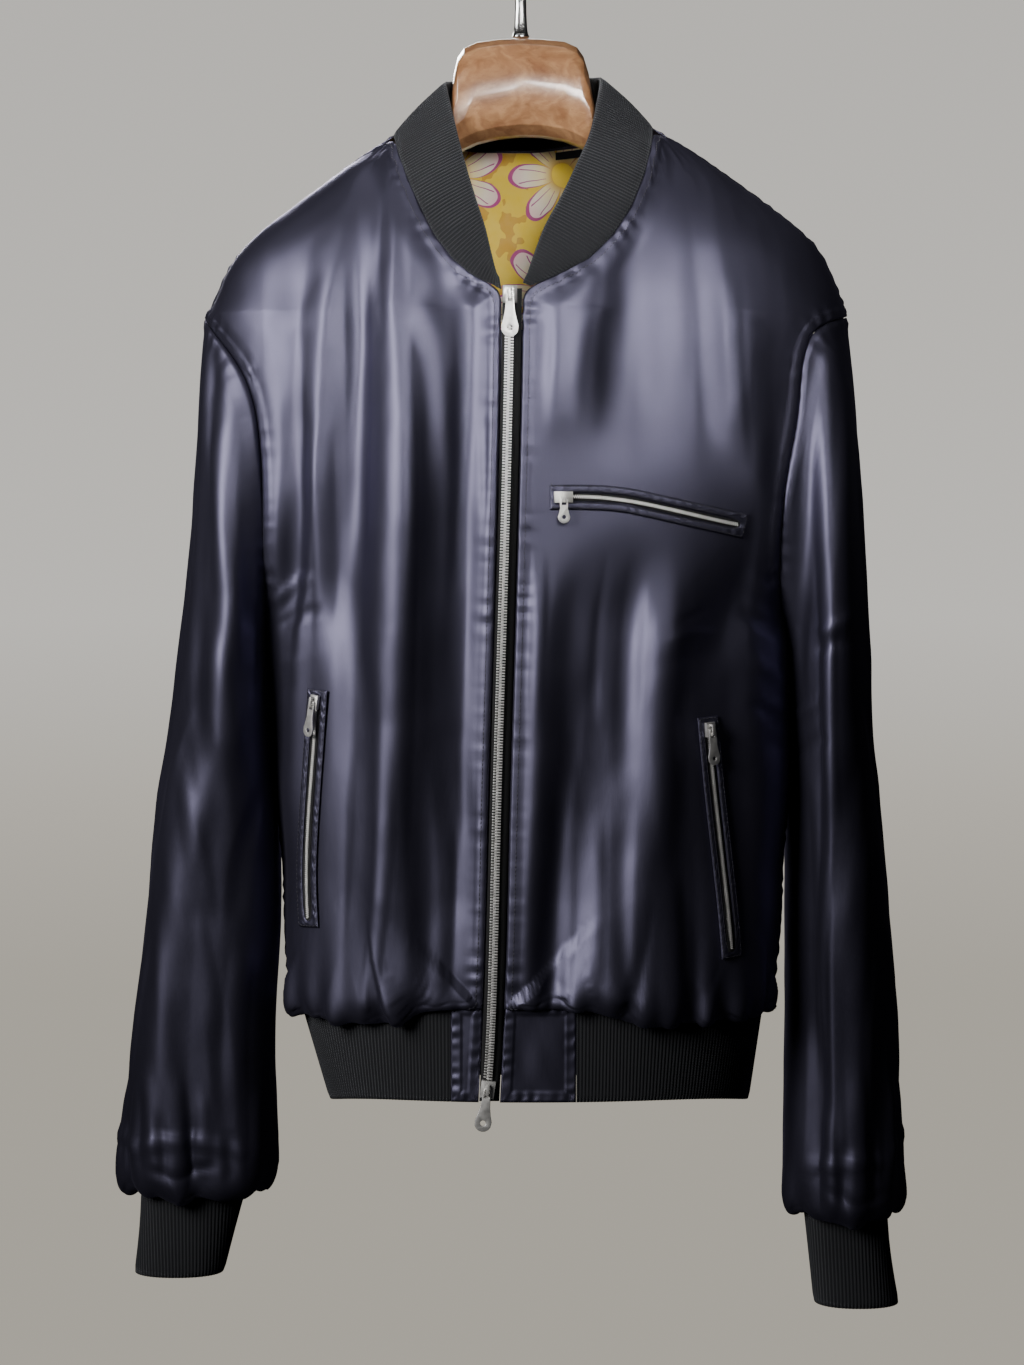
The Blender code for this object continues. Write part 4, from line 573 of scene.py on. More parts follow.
def uv_map(mesh, name, where):
    """Lays the mesh out on a UV map, from a flat place for each point."""
    layer = mesh.uv_layers.new(name=name)
    corners = np.empty(len(mesh.loops), np.int32)
    mesh.loops.foreach_get("vertex_index", corners)
    layer.data.foreach_set("uv", where[corners].astype(np.float32).ravel())


def attribute(mesh, name, values):
    made = mesh.attributes.new(name, "FLOAT", "POINT")
    made.data.foreach_set("value", np.asarray(values, np.float32))


# ---------------------------------------------------------------- cloth
class Cloth:
    """A fine sheet over a panel's outer face, to be folded."""

    def __init__(self, name, node, made_of, wall, levels, centre=MIDDLE):
        mesh = mesh_of(name, wall_side(node, True, centre, wall), made_of)
        self.piece = subdivided(linked(name, mesh), levels)
        self.mesh = self.piece.data
        self.points, self.normals = coordinates(self.mesh), normals(self.mesh)
        self.faces = [tuple(p.vertices) for p in self.mesh.polygons]
        self.find_borders()

    def find_borders(self):
        work = bmesh.new()
        work.from_mesh(self.mesh)
        work.verts.ensure_lookup_table()
        self.loops = [[v.index for v in loop] for loop in border_loops(work)]
        work.free()
        found, along = [], []
        for loop in self.loops:
            line = self.points[loop]
            steps = np.linalg.norm(np.diff(line, axis=0), axis=1)
            found += loop
            along += list(np.concatenate(([0], np.cumsum(steps))))
        tree = KDTree(len(found))
        for n, v in enumerate(found):
            tree.insert(self.points[v], n)
        tree.balance()
        near = [tree.find(p) for p in self.points]
        self.edge = np.array([distance for _, _, distance in near])
        self.edge_along = np.array([along[n] for _, n, _ in near])
        self.edge_at = np.array([self.points[found[n]] for _, n, _ in near])

    def raised(self, heights):
        self.points = self.points + self.normals * heights[:, None]
        moved(self.mesh, self.points)
        self.normals = normals(self.mesh)

    def tree(self):
        """The sheet as it is now, for what lies on it."""
        return BVHTree.FromPolygons([Vector(p) for p in self.points], self.faces)

    def strokes(self, rows, look):
        """Heights of the listed folds. look says how a stroke's flat places are laid on the cloth."""
        tree = self.tree()
        heights = np.zeros(len(self.points))
        for values in zip(*(rows[c] for c in STROKE.split())):
            x0, z0, x1, z1, bend, width, height, lean, sharp = values
            start, end = np.array((x0, z0)) / 1000, np.array((x1, z1)) / 1000
            side = np.array((-(end - start)[1], (end - start)[0]))
            side /= np.linalg.norm(side)
            shares = np.linspace(0, 1, 13)
            line = []
            for share in shares:
                at = start + (end - start) * share + side * bend / 1000 * math.sin(math.pi * share)
                origin, way, fallback = look(*at)
                hit = tree.ray_cast(Vector(origin), Vector(way))[0]
                line.append(hit if hit else fallback)
            line = np.array(line)
            margin = width / 1000 * 1.5
            near = np.flatnonzero(np.all((self.points > line.min(axis=0) - margin)
                                         & (self.points < line.max(axis=0) + margin), axis=1))
            points, ways = self.points[near], self.normals[near]
            best = np.full(len(near), 1e9)
            share_at, offset = np.zeros(len(near)), np.zeros(len(near))
            for k, (a, b) in enumerate(zip(line, line[1:])):
                run = b - a
                t = np.clip((points - a) @ run / max(run @ run, 1e-12), 0, 1)
                apart = points - a - t[:, None] * run
                far = np.linalg.norm(apart, axis=1)
                closer = far < best
                best[closer] = far[closer]
                share_at[closer] = (k + t[closer]) / (len(line) - 1)
                offset[closer] = np.sign(np.sum(apart[closer] * np.cross(run, ways[closer]), axis=1))
            profile = np.clip(1 - best / (width / 1000 * (1 + lean * offset)), 0, 1)
            profile = profile ** (2 - sharp) * (1 + (2 - sharp) * (1 - profile))
            ends = fade(np.minimum(share_at, 1 - share_at), -0.02, 0.30)
            heights[near] += height / 1000 * np.clip(profile, 0, 1.2) * ends
        return heights * fade(self.edge, 0.0, FOLDS_START)


def drape(cloth, rows):
    """Heights of the broad drape: smooth slopes from track to track, read at each point's level."""
    x, z = cloth.points[:, 0] * 1000, cloth.points[:, 2] * 1000
    order = np.argsort(rows["z"])
    level = rows["z"][order]
    count = sum(name.startswith("x") for name in rows)
    place = [np.interp(z, level, rows[f"x{n}"][order]) for n in range(count)]
    high = [np.interp(z, level, rows[f"h{n}"][order]) for n in range(count)]
    heights = np.zeros(len(x))
    heights += high[0] * smooth_step((x - place[0] + 25) / 25) * (x < place[0])
    heights += high[-1] * smooth_step((place[-1] + 25 - x) / 25) * (x >= place[-1])
    for n in range(count - 1):
        inside = (x >= place[n]) & (x < place[n + 1])
        share = smooth_step((x - place[n]) / np.maximum(place[n + 1] - place[n], 1e-6))
        heights += np.where(inside, high[n] + (high[n + 1] - high[n]) * share, 0)
    return heights / 1000 * fade(cloth.edge, 0.0, DRAPE_START)


def sight(axis, side, depth):
    """How a flat place is laid on the cloth: from a point 1 m out on one side, the way towards the cloth,
    and a place at a usual depth for where there is no cloth."""
    def look(across, z):
        out, way, usual = [across, across, z], [0.0, 0.0, 0.0], [across, across, z]
        out[axis], way[axis], usual[axis] = side, -side, side * depth
        return out, way, usual
    return look


FROM_FRONT, FROM_BACK = sight(1, -1.0, 0.06), sight(1, 1.0, 0.06)
FROM_LEFT, FROM_RIGHT = sight(0, -1.0, 0.24), sight(0, 1.0, 0.24)


# ---------------------------------------------------------------- material helpers
class Tree:
    """Short way to add linked nodes to a tree."""

    def node(self, kind, inputs=(), **values):
        made = self.tree.nodes.new(kind)
        for key, value in values.items():
            setattr(made, key, value)
        for key, value in dict(inputs).items():
            if isinstance(value, bpy.types.NodeSocket):
                self.tree.links.new(value, made.inputs[key])
            else:
                made.inputs[key].default_value = value
        return made

    def math(self, operation, *values):
        return self.node("ShaderNodeMath", dict(enumerate(values)), operation=operation).outputs[0]

    def scaled(self, vector, amount):
        return self.node("ShaderNodeVectorMath", {0: vector, "Scale": amount}, operation="SCALE").outputs[0]


class Nodes(Tree):
    """Short way to build a material."""

    def __init__(self, name, **values):
        self.material = bpy.data.materials.new(name)
        self.material.use_nodes = True
        self.tree = self.material.node_tree
        self.shader = self.tree.nodes["Principled BSDF"]
        for key, value in values.items():
            self.shader.inputs[key.replace("_", " ")].default_value = value

    def place(self, scale=(1, 1, 1)):
        at = self.node("ShaderNodeTexCoord").outputs["Object"]
        return self.node("ShaderNodeMapping", {"Vector": at, "Scale": scale}).outputs[0]

    def noise(self, at, scale, detail=3.0, roughness=0.5):
        made = self.node("ShaderNodeTexNoise", {"Vector": at, "Scale": scale, "Detail": detail,
                                                "Roughness": roughness})
        return made.outputs["Fac"]

    def spread(self, value, low, high):
        """The value, with 0 to 1 turned into low to high."""
        return self.node("ShaderNodeMapRange", {"Value": value, "To Min": low, "To Max": high}).outputs[0]

    def ramp(self, value, stops):
        made = self.node("ShaderNodeValToRGB", {"Fac": value})
        colors = made.color_ramp.elements
        while len(colors) < len(stops):
            colors.new(0.5)
        for element, (position, color) in zip(colors, stops):
            element.position = position
            element.color = (*color, 1.0)
        return made.outputs["Color"]

    def tinted(self, value, color, low, high, start=0.3, end=0.7):
        """The colour, from low to high times its brightness as the value goes from start to end."""
        return self.ramp(value, ((start, np.array(color) * low), (end, np.array(color) * high)))

    def mix(self, share, first, second):
        made = self.node("ShaderNodeMix", data_type="RGBA", blend_type="MIX")
        for socket, value in zip((made.inputs[0], made.inputs[6], made.inputs[7]), (share, first, second)):
            if isinstance(value, bpy.types.NodeSocket):
                self.tree.links.new(value, socket)
            else:
                socket.default_value = value if isinstance(value, float) else (*value[:3], 1.0)
        return made.outputs[2]

    def bump(self, height, distance, strength=1.0, below=None):
        inputs = {"Height": height, "Distance": distance, "Strength": strength}
        if below:
            inputs["Normal"] = below
        return self.node("ShaderNodeBump", inputs).outputs[0]

    def join(self, **links):
        for key, value in links.items():
            self.tree.links.new(value, self.shader.inputs[key.replace("_", " ")])
        return self.material


def satin_material():
    """Satin weave: float threads that shine like polished metal, over a nearly black ground."""
    look = settings("jacket_satin")
    s = Nodes("Dark satin", Metallic=look.shine, Roughness=look.roughness, Sheen_Weight=0.02,
              Sheen_Roughness=0.5, Sheen_Tint=(*look.sheen_color, 1), Specular_IOR_Level=0.4,
              Specular_Tint=(0.72, 0.70, 0.86, 1))
    at = s.place()
    mottle = s.noise(at, 9.0, 4.0)
    threads = s.noise(s.place((1.0, 1.0, 0.03)), 2600.0, 2.0)
    base = s.tinted(mottle, look.color, 0.88, 1.12)
    base = s.mix(s.math("MULTIPLY", threads, 0.22), base, tuple(np.array(look.color) * 1.4))
    rough = s.math("ADD", s.spread(mottle, -0.03, 0.05), s.spread(threads, look.roughness - 0.04,
                                                                 look.roughness + 0.04))
    crumple = s.noise(s.place((1.0, 1.0, 0.45)), 45.0, 3.0, 0.45)
    normal = s.bump(threads, 0.00006, 0.5, s.bump(crumple, 0.0012, 0.25))
    return s.join(Base_Color=base, Roughness=rough, Normal=normal)


def rib_material():
    """Matte rib knit. Rows of small loops run along each rib, from the piece's own UV map."""
    look = settings("jacket_rib")
    s = Nodes("Rib knit", Roughness=0.86, Sheen_Weight=0.22, Sheen_Roughness=0.5,
              Sheen_Tint=(0.75, 0.78, 0.85, 1), Specular_IOR_Level=0.25)
    at = s.node("ShaderNodeUVMap", uv_map="Knit").outputs[0]
    u, v, _ = s.node("ShaderNodeSeparateXYZ", {0: at}).outputs
    lean = s.math("MULTIPLY", s.math("PINGPONG", u, look.pitch / 2), 0.9)
    rows = s.math("SINE", s.math("MULTIPLY", s.math("ADD", v, lean), 2 * math.pi / 0.0013))
    fuzz = s.noise(s.place(), 1500.0, 3.0, 0.7)
    wear = s.noise(s.place(), 14.0, 4.0)
    base = s.tinted(wear, look.color, 0.8, 1.25)
    base = s.mix(s.spread(rows, 0.0, 0.35), base, tuple(np.array(look.color) * 0.45))
    normal = s.bump(rows, 0.00022, 0.7, s.bump(fuzz, 0.0002, 0.6))
    return s.join(Base_Color=base, Roughness=s.spread(fuzz, 0.78, 0.94), Normal=normal)


def tape_material():
    """Black woven tape with a fine herringbone."""
    s = Nodes("Black tape", Roughness=0.75, Sheen_Weight=0.15, Specular_IOR_Level=0.3)
    at = s.place()
    x, _, z = s.node("ShaderNodeSeparateXYZ", {0: at}).outputs
    lean = s.math("PINGPONG", x, 0.0012)
    weave = s.math("SINE", s.math("MULTIPLY", s.math("ADD", z, lean), 2 * math.pi / 0.0009))
    base = s.ramp(s.spread(weave, 0.0, 1.0), ((0.0, (0.006, 0.006, 0.007)), (1.0, (0.017, 0.017, 0.019))))
    return s.join(Base_Color=base, Normal=s.bump(weave, 0.0001, 0.6),
                  Roughness=s.spread(s.noise(at, 900.0), 0.66, 0.84))


def thread_material():
    look = settings("jacket_stitching")
    s = Nodes("Sewing thread", Roughness=0.5, Sheen_Weight=0.2)
    twist = s.noise(s.place(), 3000.0, 2.0)
    return s.join(Base_Color=s.tinted(twist, look.color, 0.7, 1.5), Normal=s.bump(twist, 0.0001, 0.5))


def metal_material():
    """Tumbled silver metal: cloudy, a little darker in places, with a fine grain."""
    look = settings("jacket_zip")
    s = Nodes("Silver zip metal", Metallic=0.82, Roughness=0.42)
    at = s.place()
    grain, cloud = s.noise(at, 2200.0, 2.0), s.noise(at, 260.0, 4.0)
    return s.join(Base_Color=s.tinted(cloud, look.color, 0.80, 1.05, 0.25, 0.75),
                  Roughness=s.spread(cloud, 0.36, 0.52), Normal=s.bump(grain, 0.00004, 0.4))


def steel_material():
    look = settings("jacket_hanger")
    s = Nodes("Bright steel", Metallic=1.0, Roughness=0.18)
    brushed = s.noise(s.place((1.0, 1.0, 0.05)), 1800.0, 3.0)
    return s.join(Base_Color=s.tinted(brushed, look.steel, 0.9, 1.05),
                  Roughness=s.spread(brushed, 0.12, 0.28), Normal=s.bump(brushed, 0.00003, 0.3))


def wood_material():
    """Polished burr wood: cloudy light and red-brown figure under a clear varnish."""
    look = settings("jacket_hanger")
    s = Nodes("Varnished burr wood", Roughness=0.30, Coat_Weight=0.8, Coat_Roughness=0.07,
              Specular_IOR_Level=0.5)
    at = s.place((1.0, 1.0, 1.5))
    warp = s.node("ShaderNodeTexNoise", {"Vector": at, "Scale": 16.0, "Detail": 4.0}).outputs["Color"]
    bent = s.node("ShaderNodeVectorMath", {0: at, 1: s.scaled(warp, 0.075)}, operation="ADD").outputs[0]
    figure = s.noise(bent, 42.0, 6.0, 0.62)
    veins = s.node("ShaderNodeTexWave", {"Vector": bent, "Scale": 26.0, "Distortion": 9.0, "Detail": 4.0,
                                         "Detail Scale": 2.2}).outputs["Fac"]
    light, dark = np.array(look.light), np.array(look.dark)
    base = s.ramp(figure, ((0.30, dark), (0.46, dark * 0.45 + light * 0.55), (0.62, light),
                           (0.80, light * 1.25)))
    base = s.mix(s.math("MULTIPLY", s.spread(veins, 0.0, 1.0), 0.42), base, tuple(dark * 1.3))
    pores = s.noise(s.place((1.0, 1.0, 6.0)), 420.0, 2.0)
    base = s.mix(s.math("MULTIPLY", s.math("GREATER_THAN", pores, 0.68), 0.35), base, tuple(dark * 0.6))
    return s.join(Base_Color=base, Roughness=s.spread(figure, 0.24, 0.36), Normal=s.bump(pores, 0.0001, 0.15))


def print_material():
    """Lining print: big soft petals round warm discs, on cream, with magenta outlines."""
    s = Nodes("Flower print", Roughness=0.55, Sheen_Weight=0.3, Specular_IOR_Level=0.35)
    at = s.node("ShaderNodeUVMap", uv_map="Print").outputs[0]
    wobble = s.node("ShaderNodeTexNoise", {"Vector": at, "Scale": 30.0, "Detail": 2.0}).outputs["Color"]
    bent = s.node("ShaderNodeVectorMath", {0: at, 1: s.scaled(wobble, 0.008)}, operation="ADD").outputs[0]
    spots = s.node("ShaderNodeTexVoronoi", {"Vector": bent, "Scale": 15.0, "Randomness": 0.75},
                   voronoi_dimensions="2D")
    distance = spots.outputs["Distance"]
    centre = spots.outputs["Position"]
    gap = s.node("ShaderNodeVectorMath", {0: bent, 1: centre}, operation="SUBTRACT").outputs[0]
    x, y, _ = s.node("ShaderNodeSeparateXYZ", {0: gap}).outputs
    angle = s.math("ARCTAN2", y, x)
    petal = s.math("ABSOLUTE", s.math("SINE", s.math("MULTIPLY", angle, 3.5)))
    rim = s.math("SUBTRACT", distance, s.math("MULTIPLY", s.math("POWER", petal, 0.45), 0.56))
    cream, rose, plum = (0.90, 0.80, 0.66), (0.86, 0.50, 0.56), (0.40, 0.012, 0.20)
    gold, amber = (0.84, 0.58, 0.012), (0.62, 0.33, 0.0)
    ground = s.mix(s.math("GREATER_THAN", s.noise(at, 55.0, 2.0), 0.56), gold, amber)
    inside = s.ramp(distance, ((0.12, amber), (0.24, (0.92, 0.78, 0.40)), (0.40, cream), (0.60, rose)))
    base = s.mix(s.math("LESS_THAN", rim, 0.0), ground, inside)
    line = s.math("LESS_THAN", s.math("ABSOLUTE", rim), 0.022)
    vein = s.math("LESS_THAN", s.math("ABSOLUTE", s.math("SINE", s.math("MULTIPLY", angle, 10.5))), 0.13)
    vein = s.math("MULTIPLY", vein, s.math("MULTIPLY", s.math("LESS_THAN", rim, -0.05),
                                           s.math("GREATER_THAN", distance, 0.20)))
    base = s.mix(s.math("MAXIMUM", line, vein), base, plum)
    base = s.mix(s.math("LESS_THAN", distance, 0.13), base, gold)
    soft = s.noise(s.place(), 120.0, 4.0)
    base = s.mix(s.math("MULTIPLY", soft, 0.16), base, (0.92, 0.82, 0.66))
    threads = s.noise(s.place((1.0, 1.0, 0.1)), 2600.0, 2.0)
    return s.join(Base_Color=base, Normal=s.bump(threads, 0.00006, 0.5))


MADE = {}


def finish_of(name):
    """One shared material for each finish."""
    if name not in MADE:
        MADE[name] = globals()[f"{name}_material"]()
    return MADE[name]


# ---------------------------------------------------------------- Geometry Nodes helpers
class Grower(Tree):
    """Short way to build a Geometry Nodes tree with named inputs."""

    def __init__(self, name, **sockets):
        self.tree = bpy.data.node_groups.new(name, "GeometryNodeTree")
        face = self.tree.interface
        face.new_socket("Geometry", in_out="INPUT", socket_type="NodeSocketGeometry")
        for label, (kind, value) in sockets.items():
            made = face.new_socket(label, in_out="INPUT", socket_type=f"NodeSocket{kind}")
            if value is not None:
                made.default_value = value
        face.new_socket("Geometry", in_out="OUTPUT", socket_type="NodeSocketGeometry")
        self.given = self.tree.nodes.new("NodeGroupInput").outputs

    def named(self, name, kind="FLOAT"):
        return self.node("GeometryNodeInputNamedAttribute", {"Name": name}, data_type=kind).outputs[0]

    def end(self, geometry):
        real = self.node("GeometryNodeRealizeInstances", {0: geometry}).outputs[0]
        done = self.node("GeometryNodeSetMaterial", {"Geometry": real, "Material": self.given["Material"]})
        out = self.tree.nodes.new("NodeGroupOutput")
        self.tree.links.new(done.outputs[0], out.inputs[0])
        return self.tree


def rib_tree():
    """Raises rounded ribs along a band's normals, each running across the band."""
    g = Grower("Rib knit", Pitch=("Float", 0.0024), Height=("Float", 0.0008), Material=("Material", None))
    turn = g.math("MULTIPLY", g.math("DIVIDE", g.named("along"), g.given["Pitch"]), 2 * math.pi)
    swell = g.math("POWER", g.math("MULTIPLY_ADD", g.math("SINE", turn), 0.5, 0.5), 0.8)
    rise = g.math("MULTIPLY", g.math("MULTIPLY", swell, g.given["Height"]), g.named("soft"))
    way = g.node("GeometryNodeInputNormal").outputs[0]
    raised = g.node("GeometryNodeSetPosition", {"Geometry": g.given["Geometry"],
                                                "Offset": g.scaled(way, rise)})
    return g.end(raised.outputs[0])


def path_tree():
    """Sets copies of one small piece along lines, a pitch apart, each standing on the line's own normal."""
    g = Grower("Along a path", Piece=("Object", None), Pitch=("Float", 0.003), Turn=("Float", 0.0),
               Material=("Material", None))
    line = g.node("GeometryNodeMeshToCurve", {0: g.given["Geometry"]}).outputs[0]
    line = g.node("GeometryNodeResampleCurve", {"Curve": line, "Length": g.given["Pitch"]}, mode="LENGTH")
    ahead = g.node("FunctionNodeAlignRotationToVector",
                   {"Vector": g.node("GeometryNodeInputTangent").outputs[0]}, axis="X").outputs[0]
    out = g.named("out", "FLOAT_VECTOR")
    stood = g.node("FunctionNodeAlignRotationToVector", {"Rotation": ahead, "Vector": out},
                   axis="Z", pivot_axis="X").outputs[0]
    odd = g.math("MODULO", g.node("GeometryNodeInputIndex").outputs[0], 2.0)
    angle = g.math("MULTIPLY", odd, g.given["Turn"])
    half = g.node("FunctionNodeAxisAngleToRotation", {"Axis": (0, 0, 1), "Angle": angle}).outputs[0]
    turned = g.node("FunctionNodeRotateRotation", {0: stood, 1: half}, rotation_space="LOCAL").outputs[0]
    piece = g.node("GeometryNodeObjectInfo", {"Object": g.given["Piece"], "As Instance": True})
    return g.end(g.node("GeometryNodeInstanceOnPoints", {"Points": line.outputs[0], "Rotation": turned,
                                                         "Instance": piece.outputs["Geometry"]}).outputs[0])


GROWN = {}


def grown(piece, maker, **values):
    """Runs a tree over the piece, its inputs set by their identifiers, and keeps the result as its mesh."""
    if maker not in GROWN:
        GROWN[maker] = maker()
    tree = GROWN[maker]
    step = piece.modifiers.new(tree.name, "NODES")
    step.node_group = tree
    for socket in tree.interface.items_tree:
        if socket.in_out == "INPUT" and socket.name in values:
            step[socket.identifier] = values[socket.name]
    return plain(piece)


def path_of(name, lines, made_of):
    """Lines through points, each point with the way its surface faces. lines holds pairs of arrays."""
    points = np.concatenate([line for line, _ in lines])
    outs = np.concatenate([out for _, out in lines])
    edges, start = [], 0
    for line, _ in lines:
        edges += [(start + n, start + n + 1) for n in range(len(line) - 1)]
        start += len(line)
    mesh = bpy.data.meshes.new(name)
    mesh.from_pydata([tuple(p) for p in points], edges, [])
    made = mesh.attributes.new("out", "FLOAT_VECTOR", "POINT")
    made.data.foreach_set("vector", np.asarray(outs, np.float32).ravel())
    mesh.materials.append(made_of)
    return linked(name, mesh)


def along_lines(name, lines, small, pitch, made_of, turn=0.0):
    """Copies of one small piece along the lines. The small piece itself is taken out again."""
    piece = grown(path_of(name, lines, made_of), path_tree, Piece=small, Pitch=pitch, Turn=turn,
                  Material=made_of)
    mesh = small.data
    bpy.data.objects.remove(small)
    bpy.data.meshes.remove(mesh)
    piece.data.shade_smooth()
    return piece


def block(name, low, high, bevel, segments, made_of, trim=None):
    """A rounded block between two corners. trim moves points before the edges are rounded."""
    work = bmesh.new()
    bmesh.ops.create_cube(work, size=1.0)
    low, high = np.array(low), np.array(high)
    for vertex in work.verts:
        vertex.co = Vector((low + high) / 2 + np.array(vertex.co) * (high - low))
        if trim:
            vertex.co = Vector(trim(*vertex.co))
    bmesh.ops.bevel(work, geom=work.edges[:], offset=bevel, segments=segments, affect="EDGES", profile=0.7)
    return linked(name, mesh_of(name, work, made_of))


def onto(tree, points, lift=0.0):
    """The nearest places on a surface, and the ways it faces there, smoothed along the line."""
    places, ways = [], []
    for point in points:
        place, way, _, _ = tree.find_nearest(Vector(point))
        places.append(place + way * lift)
        ways.append(way)
    ways = np.array(ways)
    return np.array(places), unit(smoothed(ways, 3)) if len(ways) > 4 else ways


def solid_tree(node, scale=(1, 1, 1)):
    work = welded(node)
    bmesh.ops.scale(work, vec=Vector(scale), verts=work.verts[:])
    tree = BVHTree.FromBMesh(work)
    work.free()
    return tree


def spine(node, degree, count):
    """The middle line of a long thin solid, from top or left to its other end, laid on its front face."""
    work = welded(node)
    tree = BVHTree.FromBMesh(work)
    points = np.array([v.co for v in work.verts])
    work.free()
    centre = points.mean(axis=0)
    _, _, axes = np.linalg.svd(points - centre)
    long, steep = axes[0], abs(axes[0][2]) > 0.7
    axis = long if (long[2] < 0 if steep else long[0] > 0) else -long
    share = (points - centre) @ axis
    at = np.linspace(share.min(), share.max(), count)
    fit = [np.polyval(np.polyfit(share, points[:, n], degree), at) for n in range(3)]
    middle = np.stack(fit, axis=1)
    face, ways = [], []
    for point in middle:
        place, way, _, _ = tree.find_nearest(Vector(point) + Vector((0, -0.01, 0)))
        face.append(place)
        ways.append(way)
    ways = np.array(ways)
    way = unit(np.mean(ways[np.abs(ways @ axis) < 0.5], axis=0))
    front = []
    for point, near in zip(middle, face):
        place = tree.ray_cast(Vector(point + way * 0.02), Vector(-way))[0]
        front.append(place if place else near)
    return np.array(front), np.repeat(way[None], count, axis=0)


def fine_copy(name, node, made_of, bevel, segments=3, angle=30, levels=0):
    """A rounded copy of a solid: its loose triangles joined, sharp edges bevelled."""
    work = welded(node)
    bmesh.ops.dissolve_limit(work, angle_limit=math.radians(1.5), verts=work.verts[:], edges=work.edges[:])
    piece = linked(name, mesh_of(name, work, made_of))
    if bevel:
        step = piece.modifiers.new("Rounded edges", "BEVEL")
        step.width, step.segments, step.limit_method = bevel, segments, "ANGLE"
        step.angle_limit = math.radians(angle)
        step.harden_normals = False
    if levels:
        step = piece.modifiers.new("Subdivision", "SUBSURF")
        step.levels = step.render_levels = levels
    plain(piece)
    piece.data.shade_smooth()
    return piece


# ---------------------------------------------------------------- satin panels
CENTRES = {"sleeve_left": Vector((-0.225, 0.0, -0.6)), "sleeve_right": Vector((0.225, 0.0, -0.6))}
CAD_WALL = 0.0016  # the wall of the satin solids
FOLDS_START = 0.012  # folds grow from nothing over this width beside a seam
DRAPE_START = 0.022  # and the broad drape over this one
SIDE_SWELL = 0.0055  # how far the side seams stand out towards the sleeves
SEAM_LIFT, SEAM_ALLOWANCE = 0.0006, 0.0085  # height and width of the ridge beside a seam
GATHER_REACH, GATHER_SWELL, GATHER_DROP = 0.013, 0.0062, 0.0075  # where it is fullest, and how full
GATHER_LEVEL = {"body": -0.735, "sleeve": -0.862}  # only borders below these levels are gathered
CALM_START, CALM_END = 0.0015, 0.034  # from a pocket's welts, the cloth keeps to the solid and then folds
# The size that each panel was cut to: width, length and flat area.
FLAT = {"front_left": (0.235, 0.640, 0.122), "front_right": (0.235, 0.640, 0.122),
        "back": (0.500, 0.660, 0.270), "sleeve_left": (0.400, 0.680, 0.215),
        "sleeve_right": (0.390, 0.700, 0.215)}
CLOTHS = {}


def seam_puckers(cloth, height, length, depth):
    """Small even puckers that a sewn seam draws into the cloth beside it."""
    uneven = 0.6 + 0.4 * np.sin(cloth.edge_along * 2 * math.pi / (length * 4.3) + 1.1)
    wave = np.sin(cloth.edge_along * 2 * math.pi / length + 1.5 * np.sin(cloth.edge_along * 90))
    return height * uneven * wave * fade(cloth.edge, depth, 0.002) * fade(cloth.edge, 0.0, 0.002)


def seam_ridge(cloth):
    """The seam allowance under the cloth lifts it a little beside each seam."""
    return SEAM_LIFT * fade(cloth.edge, 0.0, 0.0012) * fade(cloth.edge, SEAM_ALLOWANCE, 0.0060)


POCKETS = {"front_left": ("side_pocket_left_frame",),
           "front_right": ("side_pocket_right_frame", "chest_pocket_frame")}


def pocket_calm(cloth, node):
    """0 under a pocket's welts, where the cloth keeps to the solid, and 1 away from them."""
    calm = np.ones(len(cloth.points))
    long = np.array((1, 1, 0.42))  # folds run down the cloth, so they level out over a longer way there
    for frame_node in POCKETS.get(node, ()):
        near = solid_tree(frame_node, long)
        low, high = (np.array(corner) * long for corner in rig.box(frame_node))
        points = cloth.points * long
        margin = CALM_END + 0.002
        beside = (points > low - margin) & (points < high + margin)
        inside = np.flatnonzero(beside[:, 0] & beside[:, 2])
        far = [near.find_nearest(Vector(points[n]))[3] for n in inside]
        calm[inside] *= fade(far, CALM_START, CALM_END)
    return calm


def gathers(cloth, node):
    """The cloth swells and sags over the rib it is gathered into. Returns heights and drops."""
    share = np.clip(cloth.edge / GATHER_REACH, 0, None)
    level = GATHER_LEVEL["sleeve" if node.startswith("sleeve") else "body"]
    swell = share * np.exp(1 - share) * (cloth.edge_at[:, 2] < level)
    a = cloth.edge_along * 2 * math.pi
    wave = (0.5 + 0.28 * np.sin(a / 0.041 + 1.3 * np.sin(a / 0.13))
            + 0.22 * np.sin(a / 0.023 + 2.0 + len(node)))
    wave = np.clip(wave, 0, 1) ** 1.2
    return GATHER_SWELL * swell * (0.25 + 0.9 * wave), GATHER_DROP * swell * (0.2 + 0.9 * wave)


